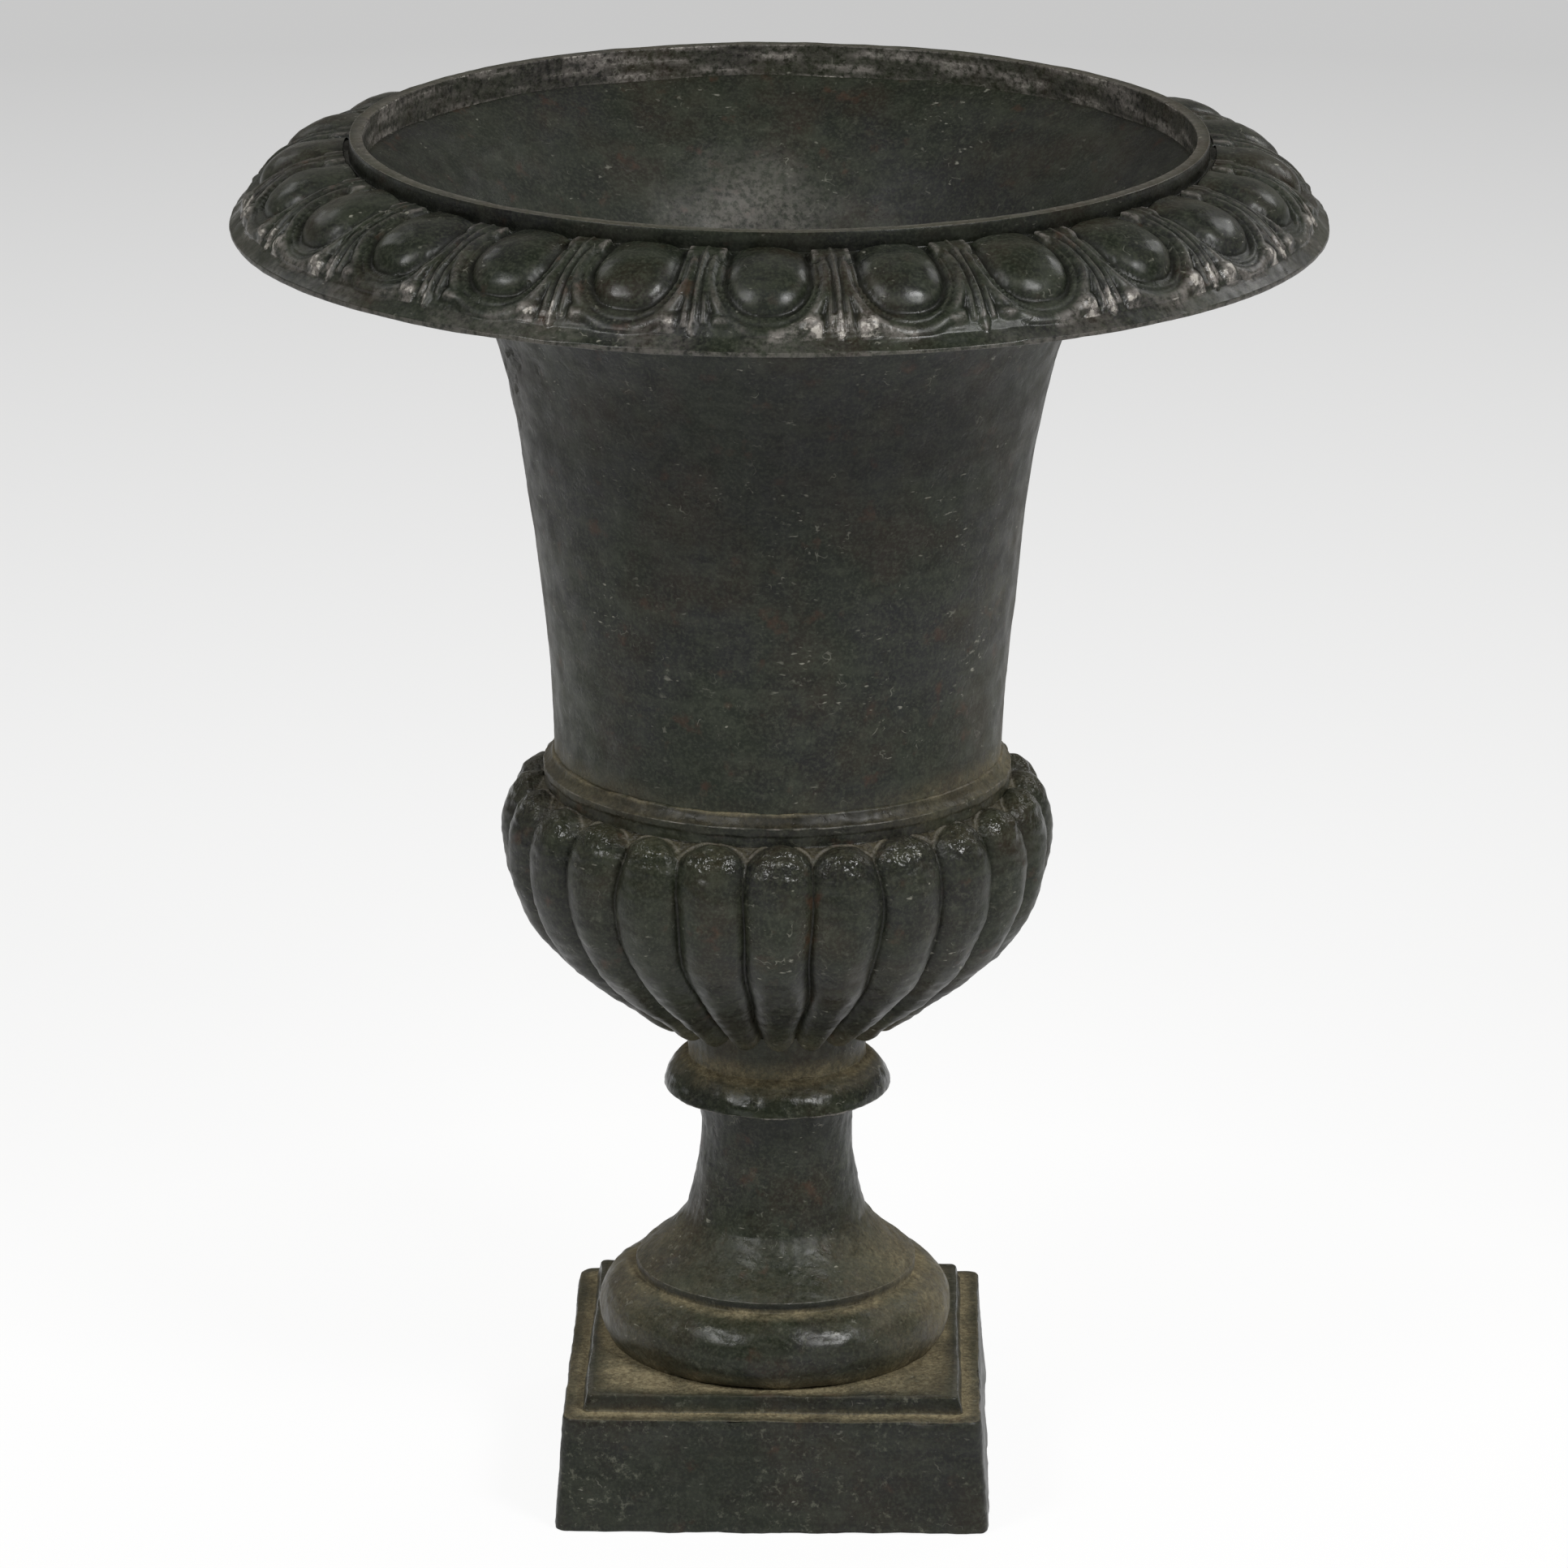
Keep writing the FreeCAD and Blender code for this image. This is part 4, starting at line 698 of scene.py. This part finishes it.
class Paint:
    """A material's node tree, built by short calls that give back output sockets."""

    def __init__(self, name):
        self.material = bpy.data.materials.new(name)
        self.material.use_nodes = True
        self.nodes, self.links = self.material.node_tree.nodes, self.material.node_tree.links
        self.shader = self.nodes["Principled BSDF"]
        self.place = self.nodes.new("ShaderNodeTexCoord").outputs["Object"]

    def set(self, socket, value):
        if isinstance(value, bpy.types.NodeSocket):
            self.links.new(value, socket)
        else:
            socket.default_value = value

    def noise(self, size, detail=4.0, roughness=0.55, stretch=(1, 1, 1)):
        """Noise with features about size millimetres across."""
        scaled = self.nodes.new("ShaderNodeVectorMath")
        scaled.operation = "MULTIPLY"
        self.set(scaled.inputs[0], self.place)
        self.set(scaled.inputs[1], [share / (size * MM) for share in stretch])
        texture = self.nodes.new("ShaderNodeTexNoise")
        self.set(texture.inputs["Vector"], scaled.outputs[0])
        self.set(texture.inputs["Scale"], 1.0)
        self.set(texture.inputs["Detail"], detail)
        self.set(texture.inputs["Roughness"], roughness)
        return texture.outputs["Fac"]

    def rise(self, value, start, end, low=0.0, high=1.0):
        """low where value is at start, high at end, smoothly between."""
        node = self.nodes.new("ShaderNodeMapRange")
        node.interpolation_type = "SMOOTHSTEP"
        for socket, number in zip(("From Min", "From Max", "To Min", "To Max"), (start, end, low, high)):
            self.set(node.inputs[socket], number)
        self.set(node.inputs["Value"], value)
        return node.outputs["Result"]

    def math(self, operation, first, second=0.0):
        node = self.nodes.new("ShaderNodeMath")
        node.operation = operation
        self.set(node.inputs[0], first)
        self.set(node.inputs[1], second)
        return node.outputs[0]

    def mix(self, share, first, second):
        node = self.nodes.new("ShaderNodeMix")
        node.data_type = "RGBA"
        self.set(node.inputs["Factor"], share)
        self.set(node.inputs["A"], first)
        self.set(node.inputs["B"], second)
        return node.outputs["Result"]

    def mask(self, name):
        node = self.nodes.new("ShaderNodeAttribute")
        node.attribute_name = name
        return node.outputs["Fac"]

    def upward(self):
        node = self.nodes.new("ShaderNodeSeparateXYZ")
        self.set(node.inputs[0], self.nodes.new("ShaderNodeNewGeometry").outputs["Normal"])
        return node.outputs["Z"]

    def line_marks(self, size, width, cover):
        """Thin curly marks along the level line of a noise, kept only where another noise is high."""
        level = self.math("ABSOLUTE", self.math("SUBTRACT", self.noise(size, 2.0), 0.5))
        mark = self.rise(level, width, width * 0.3)
        return self.math("MULTIPLY", mark, self.rise(self.noise(size * 0.9, 1.0), cover, cover + 0.06))

    def bump(self, height, distance, strength=1.0, under=None):
        node = self.nodes.new("ShaderNodeBump")
        self.set(node.inputs["Strength"], strength)
        self.set(node.inputs["Distance"], distance * MM)
        self.set(node.inputs["Height"], height)
        if under:
            self.set(node.inputs["Normal"], under)
        return node.outputs["Normal"]


PAINT_GREEN, PAINT_BROWN, PAINT_BLUE = colour(21, 27, 17), colour(32, 26, 18), colour(25, 26, 27)
PAINT_PALE = colour(58, 62, 51)
DUST_TAN, DUST_BROWN = colour(149, 139, 110), colour(97, 86, 64)
# The pale wear colours below also serve as painted highlight. The near-black one gives dark mottling and also the
# painted shade in hollows.
RUST, SPECK, WORN_PAINT_AND_HIGHLIGHT, GRIME_AND_PAINTED_SHADE = colour(66, 43, 31), colour(150, 149, 138), colour(124, 119, 115), colour(10, 11, 8)
CHIPPED_PAINT_AND_HIGHLIGHT, SCUFF = colour(164, 160, 153), colour(108, 109, 96)


def painted_iron():
    """Black-green paint on cast iron: mottled, speckled, paler where rubbed and with painted highlights, painted shade
    in hollows and on shaded faces, and brown dust where it settles.
    """
    paint = Paint("painted_cast_iron")
    base = paint.mix(paint.rise(paint.noise(85), 0.42, 0.6), PAINT_GREEN, PAINT_BLUE)
    base = paint.mix(paint.rise(paint.noise(46, 5.0), 0.46, 0.68), base, PAINT_BROWN)
    wear_and_painted_light = paint.math("MULTIPLY", paint.rise(paint.noise(9, 6.0), 0.5, 0.74), 0.4)
    base = paint.mix(wear_and_painted_light, base, PAINT_PALE)
    blotch = paint.math("MULTIPLY", paint.rise(paint.noise(19, 6.0, 0.7), 0.47, 0.66), 0.3)
    base = paint.mix(blotch, base, PAINT_PALE)
    shade = paint.math("MULTIPLY", paint.rise(paint.noise(13, 5.0, 0.65), 0.5, 0.68), 0.6)
    base = paint.mix(shade, base, GRIME_AND_PAINTED_SHADE)
    streak = paint.math("MULTIPLY", paint.rise(paint.noise(7, 3.0, 0.6, (0.1, 0.1, 1.0)), 0.48, 0.7), 0.25)
    base = paint.mix(streak, base, PAINT_PALE)
    fine = paint.math("MULTIPLY", paint.rise(paint.noise(1.7, 3.0), 0.42, 0.7), 0.5)
    base = paint.mix(fine, base, PAINT_PALE)
    rust = paint.rise(paint.noise(14, 6.0), 0.6, 0.76)
    rust = paint.math("MULTIPLY", rust, paint.rise(paint.mask("shine"), 0.1, 0.6, 0.55, 0.1))
    base = paint.mix(rust, base, RUST)

    cluster = paint.rise(paint.noise(38, 3.0), 0.46, 0.64, 0.06, 1.0)
    dashes = paint.rise(paint.noise(2.6, 1.5, 0.55, (0.5, 0.5, 1.3)), 0.68, 0.78)
    smears = paint.rise(paint.noise(7.0, 4.0, 0.6, (0.7, 0.7, 1.2)), 0.67, 0.78, 0.0, 0.8)
    flecks = paint.math("MAXIMUM", dashes, smears)
    fibres = paint.math("MAXIMUM", paint.line_marks(11.0, 0.014, 0.62), paint.line_marks(6.0, 0.016, 0.67))
    marks = paint.math("MULTIPLY", paint.math("MAXIMUM", flecks, paint.math("MULTIPLY", fibres, 0.5)), cluster)
    base = paint.mix(paint.math("MULTIPLY", marks, 0.65), base, SPECK)
    # Where the wear mask is positive the paint turns pale: paint wear, and painted highlights and sheen on edges,
    # streaks and the bell's inside. High values give pale facets and bead edges, as paint chipping with painted
    # highlight.
    patchy = paint.rise(paint.noise(3.5, 5.0, 0.7), 0.36, 0.6, 0.1, 0.9)
    bare_and_highlit = paint.math("MULTIPLY", paint.mask("wear_and_painted_light"), patchy)
    base = paint.mix(paint.math("MAXIMUM", bare_and_highlit, 0.0), base, WORN_PAINT_AND_HIGHLIGHT)
    flaking = paint.rise(paint.noise(4.0, 5.0, 0.7), 0.48, 0.58)
    chip_and_highlight = paint.math("MULTIPLY", paint.rise(paint.mask("wear_and_painted_light"), 0.7, 1.0), flaking)
    base = paint.mix(chip_and_highlight, base, CHIPPED_PAINT_AND_HIGHLIGHT)
    # Painted shade: where the mask is negative the paint is darkened towards near-black. This is shade in hollows,
    # creases and shaded faces, with some grime.
    hollow = paint.math("MULTIPLY", paint.math("MINIMUM", paint.mask("wear_and_painted_light"), 0.0), -1.0)
    base = paint.mix(hollow, base, GRIME_AND_PAINTED_SHADE)
    scuffs = paint.rise(paint.noise(4.2, 5.0, 0.72), 0.54, 0.68, 0.0, 0.45)
    scuffs = paint.math("MULTIPLY", scuffs, paint.rise(paint.noise(30, 4.0), 0.38, 0.62, 0.1, 1.0))
    scuffs = paint.math("MULTIPLY", scuffs, paint.mask("scuffs"))
    base = paint.mix(scuffs, base, SCUFF)

    settle = paint.rise(paint.upward(), 0.3, 1.0, 0.0, 0.07)
    amount = paint.math("MAXIMUM", paint.math("ADD", paint.mask("dust"), settle), 0.0)
    drift = paint.rise(paint.noise(26, 6.0, 0.65), 0.3, 0.7, 0.5, 1.35)
    grains = paint.rise(paint.noise(1.8, 5.0, 0.75), 0.3, 0.7, 0.5, 1.3)
    cover = paint.math("MULTIPLY", paint.math("MULTIPLY", amount, drift), grains)
    cover = paint.math("MINIMUM", cover, 0.95)
    dust_colour = paint.mix(paint.rise(paint.noise(3.0, 7.0, 0.75), 0.28, 0.68), DUST_BROWN, DUST_TAN)
    dusty = paint.mix(cover, base, dust_colour)
    paint.set(paint.shader.inputs["Base Color"], dusty)

    paint.set(paint.shader.inputs["Specular IOR Level"], 0.27)
    gloss = paint.rise(paint.noise(12, 4.0), 0.3, 0.7, 0.34, 0.5)
    gloss = paint.math("SUBTRACT", gloss, paint.math("MULTIPLY", paint.mask("shine"), 0.18))
    rough = paint.math("ADD", gloss, paint.math("MULTIPLY", cover, 0.4))
    paint.set(paint.shader.inputs["Roughness"], rough)

    smooth = paint.math("MULTIPLY", paint.math("MINIMUM", paint.math("MAXIMUM", paint.mask("shine"), 0.0), 1.0), 0.4)
    grain = paint.bump(paint.noise(2.4, 3.0), 0.25, paint.math("SUBTRACT", 0.5, smooth))
    cast = paint.math("MULTIPLY", paint.noise(4.6, 2.0), paint.mask("rough"))
    coarse = paint.bump(cast, 2.2, 1.0, grain)
    pitted = paint.math("SUBTRACT", 0.4, paint.math("MULTIPLY", paint.mask("shine"), 0.6))
    pitted = paint.math("MINIMUM", paint.math("MAXIMUM", pitted, 0.0), 0.4)
    pits = paint.bump(paint.rise(paint.noise(6.0, 3.0), 0.3, 0.42), 0.3, pitted, coarse)
    paint.set(paint.shader.inputs["Normal"], paint.bump(paint.math("MULTIPLY", cover, grains), 0.3, 0.6, pits))
    return paint.material


STEEL_DARK, STEEL_RUST, STEEL_ORANGE = colour(52, 47, 42), colour(84, 58, 41), colour(122, 78, 46)


def rusty_steel():
    """Dark steel fasteners with patchy rust."""
    paint = Paint("rusty_steel")
    rust = paint.rise(paint.noise(8, 6.0), 0.38, 0.62)
    base = paint.mix(rust, STEEL_DARK, STEEL_RUST)
    bright = paint.math("MULTIPLY", paint.rise(paint.noise(2.5, 5.0), 0.52, 0.7), rust)
    paint.set(paint.shader.inputs["Base Color"], paint.mix(bright, base, STEEL_ORANGE))
    paint.set(paint.shader.inputs["Metallic"], paint.rise(rust, 0.0, 0.6, 0.8, 0.0))
    paint.set(paint.shader.inputs["Roughness"], paint.rise(rust, 0.0, 1.0, 0.42, 0.85))
    paint.set(paint.shader.inputs["Normal"], paint.bump(paint.noise(1.5, 4.0), 0.15, 0.6))
    return paint.material


# Stage, light and camera
FLOOR_HALF = 14.0
FLOOR_WHITE, FLOOR_FAR = colour(255, 255, 255), colour(205, 205, 205)
WHITE_REACH, FAR_REACH = 0.5, 3.5
SHADOW_SHARE = 0.08
UNDER_PLINTH = (0.085, 0.1)


def seen_ray(nodes, links):
    """1 for camera, glossy and transmission rays."""
    path = nodes.new("ShaderNodeLightPath")
    total = path.outputs["Is Camera Ray"]
    for ray in ("Is Glossy Ray", "Is Transmission Ray"):
        node = nodes.new("ShaderNodeMath")
        node.operation = "MAXIMUM"
        links.new(total, node.inputs[0])
        links.new(path.outputs[ray], node.inputs[1])
        total = node.outputs[0]
    return total


def make_floor():
    mesh = bpy.data.meshes.new("floor")
    corners = [(x * FLOOR_HALF, y * FLOOR_HALF, 0) for x, y in ((-1, -1), (1, -1), (1, 1), (-1, 1))]
    mesh.from_pydata(corners, [], [(0, 1, 2, 3)])
    floor = bpy.data.objects.new("floor", mesh)
    bpy.context.scene.collection.objects.link(floor)
    paint = Paint("pale_floor")
    away = paint.nodes.new("ShaderNodeVectorMath")
    away.operation = "LENGTH"
    paint.set(away.inputs[0], paint.place)
    fade = paint.math("DIVIDE", paint.math("SUBTRACT", away.outputs["Value"], WHITE_REACH), FAR_REACH - WHITE_REACH)
    tone = paint.mix(paint.math("MINIMUM", paint.math("MAXIMUM", fade, 0.0), 1.0), FLOOR_WHITE, FLOOR_FAR)
    diffuse = paint.nodes.new("ShaderNodeBsdfDiffuse")
    glow = paint.nodes.new("ShaderNodeEmission")
    paint.set(diffuse.inputs["Color"], tone)
    paint.set(glow.inputs["Color"], tone)
    blend = paint.nodes.new("ShaderNodeMixShader")
    open_floor = paint.rise(away.outputs["Value"], *UNDER_PLINTH, 0.0, 1 - SHADOW_SHARE)
    paint.set(blend.inputs[0], paint.math("MULTIPLY", seen_ray(paint.nodes, paint.links), open_floor))
    paint.links.new(diffuse.outputs[0], blend.inputs[1])
    paint.links.new(glow.outputs[0], blend.inputs[2])
    paint.nodes.remove(paint.shader)
    paint.links.new(blend.outputs[0], paint.nodes["Material Output"].inputs["Surface"])
    mesh.materials.append(paint.material)


def make_world():
    world = bpy.data.worlds.new("studio")
    world.use_nodes = True
    bpy.context.scene.world = world
    nodes, links = world.node_tree.nodes, world.node_tree.links
    seen, lit, blend = (nodes.new(kind) for kind in ("ShaderNodeBackground", "ShaderNodeBackground", "ShaderNodeMixShader"))
    seen.inputs["Color"].default_value = FLOOR_FAR
    lit.inputs["Color"].default_value = colour(242, 238, 226)
    lit.inputs["Strength"].default_value = 0.25
    path = nodes.new("ShaderNodeLightPath")
    links.new(path.outputs["Is Camera Ray"], blend.inputs[0])
    links.new(lit.outputs[0], blend.inputs[1])
    links.new(seen.outputs[0], blend.inputs[2])
    links.new(blend.outputs[0], nodes["World Output"].inputs["Surface"])


def soft_box(name, azimuth, elevation, distance, width, watts):
    """A square soft light aimed at the middle of the urn. Azimuth 0 is in front, and it grows to the right."""
    lamp = bpy.data.lights.new(name, "AREA")
    lamp.size = width
    lamp.energy = watts
    middle = Vector((0, 0, URN_HEIGHT * MM / 2))
    a, e = math.radians(azimuth), math.radians(elevation)
    away = Vector((math.sin(a) * math.cos(e), -math.cos(a) * math.cos(e), math.sin(e)))
    box = bpy.data.objects.new(name, lamp)
    box.location = middle + away * distance
    box.rotation_euler = away.to_track_quat("Z", "Y").to_euler()
    bpy.context.scene.collection.objects.link(box)


CAMERA_PLACE = Vector((0.00328, -3.6010, 1.5105))
CAMERA_PITCH = math.radians(90) - 0.30838
CAMERA_ROLL = 0.00368
FRAME_PIXELS, FOCAL_PIXELS, SENSOR_WIDTH = 1932, 9213.7, 36.0


def make_camera():
    camera = bpy.data.cameras.new("camera")
    camera.sensor_width = SENSOR_WIDTH
    camera.lens = SENSOR_WIDTH * FOCAL_PIXELS / FRAME_PIXELS
    eye = bpy.data.objects.new("camera", camera)
    turn = Matrix.Rotation(CAMERA_PITCH, 4, "X") @ Matrix.Rotation(CAMERA_ROLL, 4, "Z")
    eye.matrix_world = Matrix.Translation(CAMERA_PLACE) @ turn
    bpy.context.scene.collection.objects.link(eye)
    bpy.context.scene.camera = eye


iron = painted_iron()
for make, node in ((make_plinth, "plinth"), (make_pedestal, "pedestal"), (make_bowl, "gadrooned_bowl"),
                   (make_bell, "bell_body"), (make_rim, "rim_ring")):
    piece = make()
    piece.data.materials.append(iron)
    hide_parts(node)
    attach(piece, "root")

steel = rusty_steel()
for name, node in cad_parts.items():
    if not node.hide_render:
        node.data.materials.clear()
        node.data.materials.append(steel)

make_floor()
make_world()
soft_box("key_light", 42, 42, 3.2, 0.8, 64)
soft_box("fill_light", -46, 42, 3.4, 0.9, 46)
soft_box("right_back_light", 132, 36, 3.6, 1.2, 14)
soft_box("left_back_light", -136, 38, 3.6, 1.2, 6)
make_camera()
bpy.context.scene.view_settings.view_transform = "Standard"
